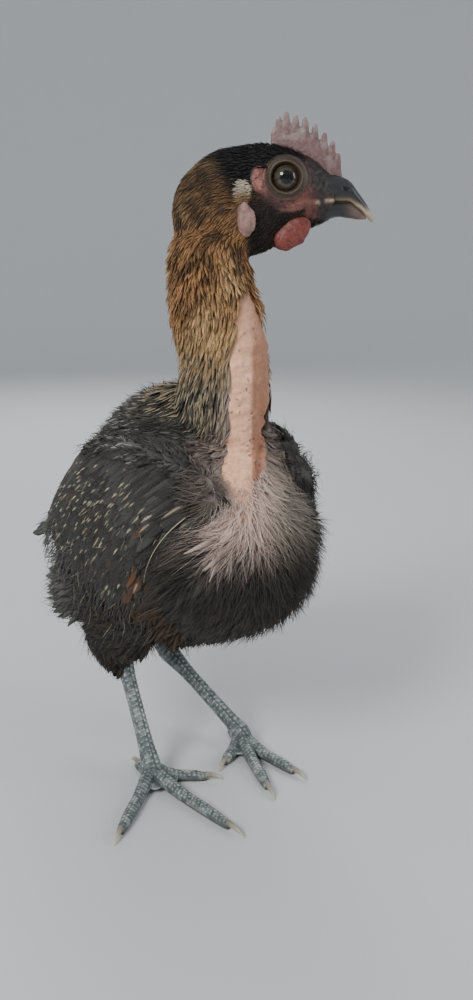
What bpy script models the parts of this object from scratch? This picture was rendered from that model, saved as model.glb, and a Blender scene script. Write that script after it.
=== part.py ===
"""A young ayam ketawa, standing with its head turned to its left, as a still life-size model.

Metres, +Z up. The bird faces -Y, its left side is +X. Sizes below are in millimetres and
are turned into metres when a mesh is made. The feet stand on z = 0, and the origin is the
middle of the bird's box at floor level.
"""
import math
import bpy
import bmesh
from mathutils import Matrix, Vector

MM = 0.001
GAP = 0.3
ORIGIN_X, ORIGIN_Y = -10.2, 36.9

HEAD_YAW = math.radians(50.0)
HEAD_BASE = (-17.1, -20.4)
HEAD_FORWARD = Vector((math.sin(HEAD_YAW), -math.cos(HEAD_YAW), 0.0))
HEAD_SIDE = Vector((math.cos(HEAD_YAW), math.sin(HEAD_YAW), 0.0))
HEAD_TURN = Matrix((HEAD_FORWARD, HEAD_SIDE, Vector((0.0, 0.0, 1.0)))).transposed()

EYE_ALONG, EYE_HEIGHT = 45.2, 319.8
EYE_RADIUS = 7.4
EYE_OUT = 7.8
LID_OUT, LID_RADIUS, LID_THICK = 12.5, 6.9, 1.3

# Torso sections along the body: y, top, bottom, half width.
TORSO = [
    (-68.0, 143.0, 122.0, 12.0),
    (-64.0, 158.0, 107.0, 28.0),
    (-52.0, 180.0, 95.0, 42.0),
    (-35.0, 202.0, 87.0, 49.0),
    (-15.0, 220.0, 79.0, 51.0),
    (5.0, 225.0, 73.0, 52.0),
    (25.0, 220.0, 71.0, 52.0),
    (45.0, 206.0, 72.0, 50.0),
    (65.0, 187.0, 75.0, 46.0),
    (82.0, 168.0, 80.0, 40.0),
    (95.0, 152.0, 89.0, 30.0),
    (102.0, 143.0, 98.0, 19.0),
    (105.0, 134.0, 108.0, 8.0),
]
TORSO_SIDES, TORSO_STEPS = 22, 16
TORSO_POWER = 2.25

# Neck sections: x, y, z of the middle, half width, half depth.
NECK = [
    (0.0, -17.0, 186.0, 27.0, 24.0),
    (0.0, -24.0, 214.0, 26.0, 24.0),
    (-1.0, -26.5, 232.0, 24.0, 23.5),
    (-3.5, -26.5, 247.0, 23.0, 23.0),
    (-6.0, -26.0, 262.0, 22.0, 22.5),
    (-8.0, -26.5, 277.0, 21.0, 22.5),
    (-8.5, -27.5, 291.0, 19.5, 21.5),
    (-8.5, -29.0, 304.0, 16.0, 17.0),
]
NECK_SIDES, NECK_STEPS = 18, 12

# Head sections along its own forward axis: along, top, bottom, half width.
HEAD = [
    (-9.5, 309.0, 300.0, 4.0),
    (-6.0, 318.0, 294.0, 11.0),
    (2.0, 326.0, 288.0, 16.0),
    (13.0, 332.5, 284.5, 18.3),
    (25.0, 335.0, 284.0, 18.0),
    (36.0, 336.0, 286.5, 16.6),
    (46.0, 334.5, 292.0, 12.8),
    (56.0, 330.0, 296.5, 11.0),
    (63.0, 325.0, 299.5, 8.0),
    (68.0, 321.0, 302.0, 5.6),
]
HEAD_SIDES, HEAD_STEPS = 18, 12

UPPER_BILL = [
    (61.0, 322.0, 310.5, 5.6),
    (69.0, 321.5, 309.7, 5.8),
    (75.5, 319.0, 309.6, 4.9),
    (79.5, 314.2, 307.0, 3.8),
    (83.5, 308.6, 304.2, 2.6),
    (87.2, 301.2, 300.4, 0.5),
]
LOWER_BILL = [
    (56.0, 309.2, 300.5, 5.0),
    (63.0, 309.3, 300.8, 5.2),
    (70.0, 309.3, 302.6, 4.5),
    (75.5, 309.1, 302.2, 3.6),
    (79.5, 306.4, 301.6, 2.6),
    (83.8, 303.2, 301.4, 0.9),
]

# Comb: tips and the gaps between them, as along and height in the head's middle plane.
COMB_TIPS = [(42.0, 347.5), (45.6, 349.4), (50.0, 347.9), (54.3, 347.0), (58.9, 344.2),
             (63.4, 340.3), (67.3, 336.6), (70.0, 331.2)]
COMB_TOP = [(38.6, 338.0), (40.0, 343.5), (47.0, 344.8), (52.0, 341.9), (56.7, 340.2),
            (61.2, 337.2), (65.0, 333.2), (70.6, 326.5), (72.0, 321.5)]
COMB_FOOT = -16.0
COMB_THICK = 1.7

# Feet: joint of the shank with the toes, and the hock above it.
FEET = {
    "right": {"joint": (-31.4, 1.6, 9.5), "hock": (-27.1, 36.1, 68.0),
              "toes": {"outer": (-52.0, 63.0), "middle": (3.0, 76.0),
                       "inner": (50.0, 40.0), "hallux": (172.0, 25.0)}},
    "left": {"joint": (31.4, -1.6, 9.5), "hock": (15.5, 49.0, 49.0),
             "toes": {"outer": (3.0, 54.0), "middle": (-23.0, 62.0),
                      "inner": (-62.0, 33.0), "hallux": (160.0, 25.0)}},
}
TOE_ROOT, TOE_END = 3.9, 2.5
TOE_SIDES, TOE_STEPS = 8, 5
TOE_PLATE_PITCH = 13.0
TOE_ORDER = ("middle", "outer", "inner", "hallux")
SCUTES = 7
CLAW_LENGTH = {"outer": 9.5, "middle": 11.0, "inner": 8.5, "hallux": 8.0}

# Thighs: middle, half width and half depth of each section from the body to the hock.
THIGH = {
    "right": [(-30.0, 10.0, 116.0, 19.0, 31.0), (-33.0, 20.0, 98.0, 18.0, 31.0),
              (-34.0, 32.0, 83.0, 15.0, 27.0), (-33.0, 37.0, 70.0, 11.5, 19.0),
              (-30.0, 33.5, 59.0, 8.5, 10.5), (-28.5, 31.0, 54.0, 6.0, 6.5)],
    "left": [(30.0, 6.0, 112.0, 19.0, 31.0), (31.0, 16.0, 94.0, 18.0, 30.0),
             (28.0, 28.0, 79.0, 15.5, 24.0), (22.5, 39.0, 67.0, 11.0, 15.0),
             (18.5, 45.0, 58.0, 7.5, 8.5), (17.0, 47.0, 54.0, 5.5, 5.5)],
}

# Wing: roots and tips of the flight feathers as y, z on the flank.
WING_ROOTS = [(-57.0, 171.0), (-30.0, 178.0), (0.0, 185.0), (30.0, 187.0)]
WING_TIPS = [(-16.0, 99.0), (14.0, 94.0), (44.0, 106.0), (76.0, 124.0), (106.0, 133.0)]

# Tiers of wing feathers, inner one first: count, start and reach as shares of the way down,
# distance out from the flank, half width.
TIERS = [
    (10, -0.12, 1.0, 2.4, 7.8),
    (7, -0.10, 0.62, 5.2, 9.0),
    (5, -0.08, 0.42, 8.0, 10.0),
]
WRIST = {"right": (-34.0, -65.0, 186.0), "left": (33.0, -56.0, 179.0)}

TAIL_BASE = (0.0, 90.0, 138.0)
TAIL_LENGTH = 62.0
RECTRICES, TAIL_COVERTS = 8, 3
TAIL_SPREAD, TAIL_ROOF, TAIL_DROP = math.radians(13.0), math.radians(28.0), 0.30

# Feathers: where along the shaft the blade is set out, and its half width there.
VANE_SHARES, VANE_SHAPE = (0.0, 0.34, 0.78, 1.0), (0.6, 1.0, 0.86, 0.24)
VANE_THICK = 0.8
TIER_TILT = math.radians(7.0)

COLOURS = {
    "feathers": ((0.055, 0.052, 0.050), 0.85),
    "hackle": ((0.30, 0.18, 0.09), 0.85),
    "skin": ((0.45, 0.13, 0.11), 0.6),
    "comb": ((0.42, 0.26, 0.26), 0.6),
    "horn": ((0.06, 0.06, 0.065), 0.45),
    "claw": ((0.40, 0.36, 0.30), 0.45),
    "eye": ((0.05, 0.045, 0.035), 0.08),
    "scales": ((0.33, 0.37, 0.37), 0.5),
    "lobe": ((0.62, 0.50, 0.46), 0.6),
}


def remove_everything():
    """Empty the scene that the script starts in."""
    for item in list(bpy.data.objects):
        bpy.data.objects.remove(item, do_unlink=True)


def make_material(name):
    """One Principled material with the part's own colour and roughness."""
    colour, roughness = COLOURS[name]
    material = bpy.data.materials.new(name)
    material.use_nodes = True
    shader = material.node_tree.nodes["Principled BSDF"]
    shader.inputs["Base Color"].default_value = (*colour, 1.0)
    shader.inputs["Roughness"].default_value = roughness
    shader.inputs["Metallic"].default_value = 0.0
    return material


def make_object(name, points, faces):
    """An object from points in millimetres, with its faces turned outwards."""
    mesh = bpy.data.meshes.new(name)
    shift = Vector((ORIGIN_X, ORIGIN_Y, 0.0))
    mesh.from_pydata([(Vector(point) - shift) * MM for point in points], [], faces)
    work = bmesh.new()
    work.from_mesh(mesh)
    bmesh.ops.triangulate(work, faces=work.faces)
    bmesh.ops.recalc_face_normals(work, faces=work.faces)
    work.to_mesh(mesh)
    work.free()
    item = bpy.data.objects.new(name, mesh)
    bpy.context.scene.collection.objects.link(item)
    return item


def spline(rows, steps):
    """Rows of numbers read at even steps along a smooth curve through them."""
    result = []
    last = len(rows) - 1
    for step in range(steps + 1):
        place = last * step / steps
        index = min(int(place), last - 1)
        t = place - index
        before = rows[max(index - 1, 0)]
        start, end = rows[index], rows[index + 1]
        after = rows[min(index + 2, last)]
        row = []
        for a, b, c, d in zip(before, start, end, after):
            slope_in, slope_out = (c - a) / 2, (d - b) / 2
            value = ((2 * t**3 - 3 * t**2 + 1) * b + (t**3 - 2 * t**2 + t) * slope_in
                     + (3 * t**2 - 2 * t**3) * c + (t**3 - t**2) * slope_out)
            row.append(value)
        result.append(tuple(row))
    return result


def bridge_rings(rings):
    """Points and faces of a closed skin over rings of the same number of points."""
    sides = len(rings[0])
    points = [point for ring in rings for point in ring]
    faces = []
    for level in range(len(rings) - 1):
        for index in range(sides):
            following = (index + 1) % sides
            low, high = level * sides, (level + 1) * sides
            faces.append((low + index, low + following, high + following, high + index))
    for ring, offset in ((rings[0], 0), (rings[-1], (len(rings) - 1) * sides)):
        middle = sum((Vector(point) for point in ring), Vector()) / sides
        points.append(middle)
        for index in range(sides):
            faces.append((len(points) - 1, offset + index, offset + (index + 1) % sides))
    return points, faces


def rounded(angle, power):
    """Cosine and sine of an angle on a superellipse."""
    cosine, sine = math.cos(angle), math.sin(angle)
    return (math.copysign(abs(cosine) ** (2 / power), cosine),
            math.copysign(abs(sine) ** (2 / power), sine))


def long_form(name, rows, origin, forward, side, sides, steps, power=2.0, grow=0.0):
    """A body along a level axis, from rows of along, top, bottom and half width."""
    rings = []
    rows = spline(rows, steps)
    for number, (along, top, bottom, half) in enumerate(rows):
        if number == 0:
            along -= grow
        if number == len(rows) - 1:
            along += grow
        middle, height = (top + bottom) / 2, (top - bottom) / 2 + grow
        ring = []
        for index in range(sides):
            across, up = rounded(2 * math.pi * index / sides, power)
            place = Vector((origin[0], origin[1], 0.0)) + forward * along
            place += side * (across * (half + grow))
            place.z = middle + up * height
            ring.append(place)
        rings.append(ring)
    return make_object(name, *bridge_rings(rings))


def path_form(name, rows, sides, steps, side_hint=(1.0, 0.0, 0.0), grow=0.0):
    """A body along a curved path, from rows of x, y, z, half width and half depth."""
    rows = spline(rows, steps)
    rings = []
    for number, (x, y, z, half, depth) in enumerate(rows):
        ahead = Vector(rows[min(number + 1, len(rows) - 1)][:3])
        behind = Vector(rows[max(number - 1, 0)][:3])
        tangent = (ahead - behind).normalized()
        across = Vector(side_hint)
        across = (across - tangent * across.dot(tangent)).normalized()
        front = tangent.cross(across)
        middle = Vector((x, y, z))
        if number == 0:
            middle -= tangent * grow
        if number == len(rows) - 1:
            middle += tangent * grow
        ring = []
        for index in range(sides):
            angle = 2 * math.pi * index / sides
            ring.append(middle + across * math.cos(angle) * (half + grow)
                        + front * math.sin(angle) * (depth + grow))
        rings.append(ring)
    return make_object(name, *bridge_rings(rings))


def ball(name, middle, radii, segments=16, rings=10, turn=None):
    """An ellipsoid with the given half sizes, turned by a matrix where one is given."""
    points, faces = [], []
    turn = turn or Matrix.Identity(3)
    for level in range(1, rings):
        polar = math.pi * level / rings
        for index in range(segments):
            angle = 2 * math.pi * index / segments
            local = Vector((math.sin(polar) * math.cos(angle) * radii[0],
                            math.sin(polar) * math.sin(angle) * radii[1],
                            math.cos(polar) * radii[2]))
            points.append(Vector(middle) + turn @ local)
    for level in range(rings - 2):
        for index in range(segments):
            following = (index + 1) % segments
            low, high = level * segments, (level + 1) * segments
            faces.append((low + index, low + following, high + following, high + index))
    for pole, offset in ((radii[2], 0), (-radii[2], (rings - 2) * segments)):
        points.append(Vector(middle) + turn @ Vector((0.0, 0.0, pole)))
        for index in range(segments):
            faces.append((len(points) - 1, offset + index, offset + (index + 1) % segments))
    return make_object(name, points, faces)


def apply_modifier(item, modifier):
    """Bake one modifier into an object's mesh."""
    with bpy.context.temp_override(object=item, active_object=item):
        bpy.ops.object.modifier_apply(modifier=modifier.name)


def keep_largest(item):
    """Leave only the largest closed surface of an object."""
    work = bmesh.new()
    work.from_mesh(item.data)
    work.faces.ensure_lookup_table()
    seen, shells = set(), []
    for face in work.faces:
        if face.index in seen:
            continue
        seen.add(face.index)
        shell, queue = [], [face]
        while queue:
            current = queue.pop()
            shell.append(current)
            for edge in current.edges:
                for other in edge.link_faces:
                    if other.index not in seen:
                        seen.add(other.index)
                        queue.append(other)
        shells.append(shell)
    if len(shells) > 1:
        shells.sort(key=lambda shell: sum(face.calc_area() for face in shell), reverse=True)
        loose = [face for shell in shells[1:] for face in shell]
        bmesh.ops.delete(work, geom=loose, context="FACES")
    bmesh.ops.triangulate(work, faces=work.faces)
    work.to_mesh(item.data)
    work.free()


def fuse(item, pieces):
    """Join the pieces to an object with one union, and remove them."""
    group = bpy.data.collections.new(item.name + "_pieces")
    for piece in pieces:
        bpy.context.scene.collection.objects.unlink(piece)
        group.objects.link(piece)
    bpy.context.scene.collection.children.link(group)
    union = item.modifiers.new("union", "BOOLEAN")
    union.operation = "UNION"
    union.solver = "MANIFOLD"
    union.operand_type = "COLLECTION"
    union.collection = group
    apply_modifier(item, union)
    for piece in pieces:
        bpy.data.objects.remove(piece, do_unlink=True)
    bpy.data.collections.remove(group)
    keep_largest(item)
    return item


def cut(item, cutters):
    """Take the cutters away from an object, and remove them."""
    for cutter in cutters:
        difference = item.modifiers.new("cut", "BOOLEAN")
        difference.operation = "DIFFERENCE"
        difference.solver = "MANIFOLD"
        difference.object = cutter
        apply_modifier(item, difference)
        bpy.data.objects.remove(cutter, do_unlink=True)
    keep_largest(item)
    return item


def floor_cutter():
    """A block under the floor, which cuts the soles flat."""
    low, high = Vector((-150.0, -150.0, -30.0)), Vector((150.0, 150.0, 0.0))
    corners = [(x, y, z) for x in (low.x, high.x) for y in (low.y, high.y) for z in (low.z, high.z)]
    faces = [(0, 1, 3, 2), (4, 6, 7, 5), (0, 4, 5, 1), (2, 3, 7, 6), (0, 2, 6, 4), (1, 5, 7, 3)]
    return make_object("floor_cutter", corners, faces)


def finish(item, material):
    """Give an object its material and smooth shading."""
    item.data.materials.clear()
    item.data.materials.append(material)
    item.data.shade_smooth()
    item.data.set_sharp_from_angle(angle=math.radians(40))


def torso_form(name, grow=0.0):
    """The body without wings, legs, neck and tail."""
    return long_form(name, TORSO, (0.0, 0.0), Vector((0.0, 1.0, 0.0)), Vector((1.0, 0.0, 0.0)),
                     TORSO_SIDES, TORSO_STEPS, TORSO_POWER, grow)


def neck_form(name, grow=0.0):
    """The feathered neck."""
    return path_form(name, NECK, NECK_SIDES, NECK_STEPS, (1.0, 0.0, 0.0), grow)


def head_form(name, grow=0.0):
    """The head without bill, comb, wattles and earlobes."""
    return long_form(name, HEAD, HEAD_BASE, HEAD_FORWARD, HEAD_SIDE,
                     HEAD_SIDES, HEAD_STEPS, 2.1, grow)


def head_point(along, out, height):
    """A place in the head's own frame: along its axis, out to its left, and height."""
    place = Vector((HEAD_BASE[0], HEAD_BASE[1], 0.0)) + HEAD_FORWARD * along + HEAD_SIDE * out
    place.z = height
    return place


def head_half_width(along, height):
    """Half width of the head at a place along its axis and a height."""
    rows = spline(HEAD, 60)
    row = min(rows, key=lambda candidate: abs(candidate[0] - along))
    middle, half_height = (row[1] + row[2]) / 2, (row[1] - row[2]) / 2
    share = min(abs(height - middle) / half_height, 0.999)
    return row[3] * (1 - share ** 2.1) ** (1 / 2.1)


def flank(y, z):
    """Half width of the torso at a place on its side."""
    rows = spline(TORSO, 80)
    row = min(rows, key=lambda candidate: abs(candidate[0] - y))
    middle, half_height = (row[1] + row[2]) / 2, (row[1] - row[2]) / 2
    share = min(abs(z - middle) / half_height, 0.97)
    return row[3] * (1 - share ** TORSO_POWER) ** (1 / TORSO_POWER)


def vane(name, spine, widths, across, normals):
    """One feather: a thin blade along its spine, split into triangles alike on both faces."""
    rings = []
    for middle, half, side, normal in zip(spine, widths, across, normals):
        rise = normal * VANE_THICK * 0.5
        rings.append([middle - side * half - rise, middle + side * half - rise,
                      middle + side * half + rise, middle - side * half + rise])
    points = [point for ring in rings for point in ring]
    faces = []
    for level in range(len(rings) - 1):
        low, high = level * 4, level * 4 + 4
        faces += [(low, low + 1, high + 1), (low, high + 1, high)]
        faces += [(low + 3, high + 2, low + 2), (low + 3, high + 3, high + 2)]
        faces += [(low + 1, low + 2, high + 2, high + 1), (low + 3, low, high, high + 3)]
    last = (len(rings) - 1) * 4
    faces += [(0, 3, 2, 1), (last, last + 1, last + 2, last + 3)]
    return make_object(name, points, faces)


def read_line(points, share):
    """A place at a share of the way along a smooth line of points."""
    steps = 40
    rows = spline(points, steps)
    return rows[round(share * steps)]


def lay_vane(name, spine, outward, half, tilt=0.0):
    """A feather along a spine, its face turned outward and tilted about the shaft."""
    across, normals, widths = [], [], []
    for index, middle in enumerate(spine):
        ahead = spine[min(index + 1, len(spine) - 1)]
        behind = spine[max(index - 1, 0)]
        tangent = (ahead - behind).normalized()
        normal = outward[index]
        normal = (normal - tangent * normal.dot(tangent)).normalized()
        normal = Matrix.Rotation(tilt, 3, tangent) @ normal
        normals.append(normal)
        across.append(tangent.cross(normal).normalized())
        widths.append(half * VANE_SHAPE[index])
    return vane(name, spine, widths, across, normals)


def wing_normal(side, y, z):
    """Direction out of the flank where the wing lies."""
    step = 4.0
    slope_z = (wing_side(side, y, z + step) - wing_side(side, y, z - step)) / (2 * step)
    slope_y = (wing_side(side, y + step, z) - wing_side(side, y - step, z)) / (2 * step)
    return Vector((side, -slope_y, -slope_z)).normalized()


def wing_side(side, y, z):
    """Half width of the body where the wing lies, filled out towards the wrist."""
    wrist = WRIST["right" if side < 0 else "left"]
    near = math.exp(-((y - wrist[1]) / 26.0) ** 2) * math.exp(-((z - wrist[2]) / 34.0) ** 2)
    body = flank(min(max(y, -60.0), 92.0), max(z, 96.0))
    return body + near * max(abs(wrist[0]) - body, 0.0) * 0.7


def build_torso():
    """Body."""
    return torso_form("torso")


def build_neck():
    """Neck, between the body and the head."""
    neck = neck_form("neck")
    return cut(neck, [torso_form("cutter", GAP), head_form("cutter", GAP)])


def ring_points(middle, side, up, forward, radius_along, radius_up, tube, count, inner):
    """Points and faces of a closed ring of round section about an eye."""
    rings = []
    for index in range(count):
        angle = 2 * math.pi * index / count
        outward = forward * math.cos(angle) + up * math.sin(angle)
        base = middle + forward * math.cos(angle) * radius_along + up * math.sin(angle) * radius_up
        ring = []
        for number in range(inner):
            turn = 2 * math.pi * number / inner
            ring.append(base + outward * math.cos(turn) * tube + side * math.sin(turn) * tube)
        rings.append(ring)
    points = [point for ring in rings for point in ring]
    faces = []
    for level in range(count):
        low, high = level * inner, (level + 1) % count * inner
        for index in range(inner):
            following = (index + 1) % inner
            faces.append((low + index, low + following, high + following, high + index))
    return points, faces


def build_head():
    """Head with the lids round both eyes."""
    head = head_form("head")
    pieces = []
    cutters = []
    for side, label in ((-1.0, "right"), (1.0, "left")):
        middle = head_point(EYE_ALONG, side * LID_OUT, EYE_HEIGHT)
        points, faces = ring_points(middle, HEAD_SIDE * side, Vector((0, 0, 1)), HEAD_FORWARD,
                                    LID_RADIUS + 0.6, LID_RADIUS, LID_THICK, 16, 5)
        pieces.append(make_object("lids_" + label, points, faces))
        eye = head_point(EYE_ALONG, side * EYE_OUT, EYE_HEIGHT)
        cutters.append(ball("socket_" + label, eye, (EYE_RADIUS + GAP,) * 3, 12, 7, HEAD_TURN))
    fuse(head, pieces)
    return cut(head, cutters)


def build_eyes():
    """One ball in each socket."""
    eyes = []
    for side, label in ((-1.0, "right"), (1.0, "left")):
        eye = head_point(EYE_ALONG, side * EYE_OUT, EYE_HEIGHT)
        eyes.append(ball("eye_" + label, eye, (EYE_RADIUS - 0.25,) * 3, 12, 7, HEAD_TURN))
    return eyes


def bill_form(name, rows, grow=0.0):
    """One half of the bill."""
    return long_form(name, rows, HEAD_BASE, HEAD_FORWARD, HEAD_SIDE, 10, 8, 2.0, grow)


def build_bill():
    """Upper and lower bill, which meet along the line of the mouth."""
    upper = bill_form("bill_upper", UPPER_BILL)
    nostrils = []
    for side in (-1.0, 1.0):
        place = head_point(73.5, side * 5.4, 315.0)
        nostrils.append(ball("nostril", place, (1.9, 1.2, 0.8), 8, 6, HEAD_TURN))
    cut(upper, nostrils + [head_form("cutter", GAP)])
    lower = bill_form("bill_lower", LOWER_BILL)
    cut(lower, [head_form("cutter", GAP), bill_form("cutter", UPPER_BILL, GAP)])
    return [upper, lower]


def build_comb():
    """Single comb: a blade along the crown with eight blunt points."""
    rings = []
    for along, height in spline(COMB_TOP, 8):
        foot = height + COMB_FOOT
        ring = []
        for across, level in ((-1.0, foot), (-0.85, (foot + height) / 2), (-0.45, height),
                              (0.45, height), (0.85, (foot + height) / 2), (1.0, foot)):
            ring.append(head_point(along, across * COMB_THICK, level))
        rings.append(ring)
    comb = make_object("comb", *bridge_rings(rings))
    points = []
    for number, (along, height) in enumerate(COMB_TIPS):
        lean = (along - 55.0) * 0.05
        rows = []
        for share, half in ((0.0, 1.9), (0.45, 1.45), (0.8, 0.95), (1.0, 0.3)):
            low = height - 9.5
            place = head_point(along - lean * (1 - share), 0.0, low + (height - low) * share)
            rows.append((*place, half, min(half, 1.0)))
        points.append(path_form("point_%d" % number, rows, 6, 2, tuple(HEAD_FORWARD)))
    fuse(comb, points)
    return cut(comb, [head_form("cutter", GAP), bill_form("cutter", UPPER_BILL, GAP)])


def build_lobes():
    """Wattles under the bill and earlobes behind the cheek."""
    lobes = []
    for side, label in ((-1.0, "right"), (1.0, "left")):
        tilt = HEAD_TURN @ Matrix.Rotation(math.radians(-38), 3, "Y")
        place = head_point(49.0, side * 9.0, 295.5)
        wattle = ball("wattle_" + label, place, (10.0, 2.2, 6.2), 10, 7, tilt)
        place = head_point(44.6, side * 9.4, 291.6)
        fuse(wattle, [ball("bulb", place, (5.0, 2.7, 4.8), 8, 5, HEAD_TURN)])
        cut(wattle, [head_form("cutter", GAP)])
        lobes.append((wattle, "skin"))
        out = head_half_width(27.0, 301.0)
        place = head_point(27.0, side * (out + 0.2), 301.0)
        lobe = ball("earlobe_" + label, place, (4.4, 2.6, 7.4), 10, 7, HEAD_TURN)
        tuft_out = head_half_width(26.0, 312.0)
        place = head_point(26.0, side * (tuft_out + 0.2), 310.8)
        tuft = ball("tuft", place, (3.7, 2.4, 5.4), 8, 5, HEAD_TURN)
        fuse(lobe, [tuft])
        cut(lobe, [head_form("cutter", GAP)])
        lobes.append((lobe, "lobe"))
    return lobes


def shank_rows(foot, grow=0.0):
    """Sections of one shank from inside the thigh to the toe roots."""
    hock, joint = Vector(foot["hock"]), Vector(foot["joint"])
    rows = []
    for share, half, depth in ((-0.10, 4.2, 4.6), (0.0, 5.6, 6.2), (0.12, 4.8, 5.4), (0.3, 3.7, 4.3),
                               (0.6, 3.6, 4.2), (0.85, 4.2, 4.5), (1.0, 5.6, 5.2)):
        place = hock.lerp(joint, share)
        rows.append((*place, half + grow, depth + grow))
    return rows


def build_legs():
    """Thighs, shanks, toes and claws of both legs."""
    made = []
    for label, foot in FEET.items():
        thigh = thigh_form("thigh_" + label, label)
        cut(thigh, [torso_form("cutter", GAP)])
        made.append((thigh, "feathers"))
        shank = shank_solid("shank_" + label, foot)
        cut(shank, [thigh_form("cutter", label, GAP), floor_cutter()])
        made.append((shank, "scales"))
        made += build_toes(label, foot)
    return made


def thigh_form(name, label, grow=0.0):
    """The feathered thigh down to the hock."""
    return path_form(name, THIGH[label], 18, 9, grow=grow)


def shank_solid(name, foot, grow=0.0):
    """A shank with the pad under its joint and the plates down its front."""
    shank = path_form(name, shank_rows(foot, grow), 9, 8)
    joint = Vector(foot["joint"])
    pad = ball("pad", (joint.x, joint.y, 5.4), (6.4 + grow, 6.4 + grow, 6.2 + grow), 10, 6)
    hock = Vector(foot["hock"])
    along = (joint - hock).normalized()
    front = Vector((0.0, -1.0, 0.0))
    front = (front - along * front.dot(along)).normalized()
    side = along.cross(front)
    turn = Matrix((side, front, along)).transposed()
    plates = []
    for number in range(SCUTES):
        share = 0.27 + 0.66 * number / (SCUTES - 1)
        middle = hock.lerp(joint, share) + front * 1.7
        plates.append(ball("scute", middle, (3.3 + grow, 3.2 + grow, 3.0 + grow), 6, 4, turn))
    return fuse(shank, [pad] + plates)


def toe_heading(angle):
    """A level direction, turned from the bird's forward towards its left."""
    turn = math.radians(angle)
    return Vector((math.sin(turn), -math.cos(turn), 0.0))


def toe_rows(foot, name, grow=0.0):
    """Sections of one toe from its root to where the claw grows."""
    angle, length = foot["toes"][name]
    joint = Vector(foot["joint"])
    heading = toe_heading(angle)
    run = length - CLAW_LENGTH[name]
    start = 2.0
    rows = []
    for share, half, height in ((0.0, TOE_ROOT, 7.0), (0.22, TOE_ROOT * 0.95, 4.2),
                                (0.45, TOE_ROOT * 0.82, 2.7), (0.72, TOE_ROOT * 0.8, 2.5),
                                (0.92, TOE_END, 2.0), (1.0, TOE_END * 0.8, 2.0)):
        place = Vector((joint.x, joint.y, 0.0)) + heading * (start + (run - start) * share)
        rows.append((place.x, place.y, height, half + grow, half * 0.92 + grow))
    return rows


def toe_solid(title, foot, name, grow=0.0):
    """A toe with the plates along its top."""
    angle, length = foot["toes"][name]
    heading = toe_heading(angle)
    side = Vector((0, 0, 1)).cross(heading)
    toe = path_form(title, toe_rows(foot, name, grow), TOE_SIDES, TOE_STEPS, tuple(side))
    run = length - CLAW_LENGTH[name]
    turn = Matrix((side, heading, Vector((0, 0, 1)))).transposed()
    count = max(2, round(run / TOE_PLATE_PITCH))
    reach = 0.36 * run / count
    plates = []
    for number in range(count):
        share = 0.28 + 0.32 * number / (count - 1)
        row = read_line(toe_rows(foot, name), share)
        plates.append(ball("plate", (row[0], row[1], row[2] + row[4] * 0.35),
                           (row[3] * 0.82 + grow, reach + grow, row[4] * 0.86 + grow), 6, 3, turn))
    return fuse(toe, plates)


def build_toes(label, foot):
    """Four toes with their plates and claws."""
    made, done = [], []
    for name in TOE_ORDER:
        toe = toe_solid("toe_%s_%s" % (name, label), foot, name)
        cutters = [shank_solid("cutter", foot, GAP), floor_cutter()]
        cutters += [toe_solid("cutter", foot, other, GAP) for other in done]
        cut(toe, cutters)
        made.append((toe, "scales"))
        made.append((build_claw(label, foot, name), "claw"))
        done.append(name)
    return made


def build_claw(label, foot, name):
    """A claw: a short curved cone that starts inside the end of its toe."""
    angle, length = foot["toes"][name]
    joint = Vector(foot["joint"])
    heading = toe_heading(angle)
    side = tuple(Vector((0, 0, 1)).cross(heading))
    grown = CLAW_LENGTH[name]
    start = length - grown - 1.6
    rows = []
    for share, half, height in ((0.0, 1.7, 3.3), (0.35, 1.6, 3.4), (0.7, 1.1, 2.5), (1.0, 0.35, 0.6)):
        place = Vector((joint.x, joint.y, 0.0)) + heading * (start + (grown + 1.6) * share)
        rows.append((place.x, place.y, height, half * 0.8, half))
    claw = path_form("claw_%s_%s" % (name, label), rows, 6, 4, side)
    toe = path_form("cutter", toe_rows(foot, name, GAP), TOE_SIDES, TOE_STEPS, side)
    return cut(claw, [toe, floor_cutter()])


def wing_place(side, across, down, lift):
    """A place on the wing: across its roots from front to back, and down to its tips."""
    root, tip = read_line(WING_ROOTS, across), read_line(WING_TIPS, across)
    y = root[0] + (tip[0] - root[0]) * down
    z = root[1] + (tip[1] - root[1]) * down + 3.0 * math.sin(math.pi * down)
    return Vector((side * (wing_side(side, y, z) + lift), y, z))


def wing_arm(name, label, side):
    """The folded arm of a wing, from the wrist back to the elbow."""
    wrist = Vector(WRIST[label])
    rows = [(wrist.x, wrist.y - 3.0, wrist.z, 1.2, 2.2), (*wrist, 5.0, 8.5)]
    for y, z, half, depth in ((-46.0, 183.0, 8.0, 15.0), (-20.0, 187.0, 9.0, 22.0),
                              (8.0, 188.0, 9.0, 24.0), (34.0, 182.0, 8.0, 20.0), (54.0, 172.0, 5.0, 11.0)):
        rows.append((side * (wing_side(side, y, z) + 0.5), y, z, half, depth))
    return path_form(name, rows, 12, 8)


def wing_tier(side, count, start, reach, lift, half):
    """One tier of feathers, from its share of the way down to its reach."""
    feathers = []
    for number in range(count):
        across = (number + 0.5) / count
        spine, outward = [], []
        for share in VANE_SHARES:
            down = start + (reach - start) * share
            place = wing_place(side, across, down, lift)
            spine.append(place)
            outward.append(wing_normal(side, place.y, place.z))
        feathers.append(lay_vane("feather", spine, outward, half, side * TIER_TILT))
    return feathers


def build_wing(label):
    """A folded wing: the arm, and three tiers of feathers that lie down the flank."""
    side = -1.0 if label == "right" else 1.0
    wing = wing_arm("wing_" + label, label, side)
    feathers = []
    for count, start, reach, lift, half in TIERS:
        feathers += wing_tier(side, count, start, reach, lift, half)
    fuse(wing, feathers)
    cutters = [torso_form("cutter", GAP), neck_form("cutter", GAP)]
    return cut(wing, cutters + [thigh_form("cutter", label, GAP)])


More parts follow.
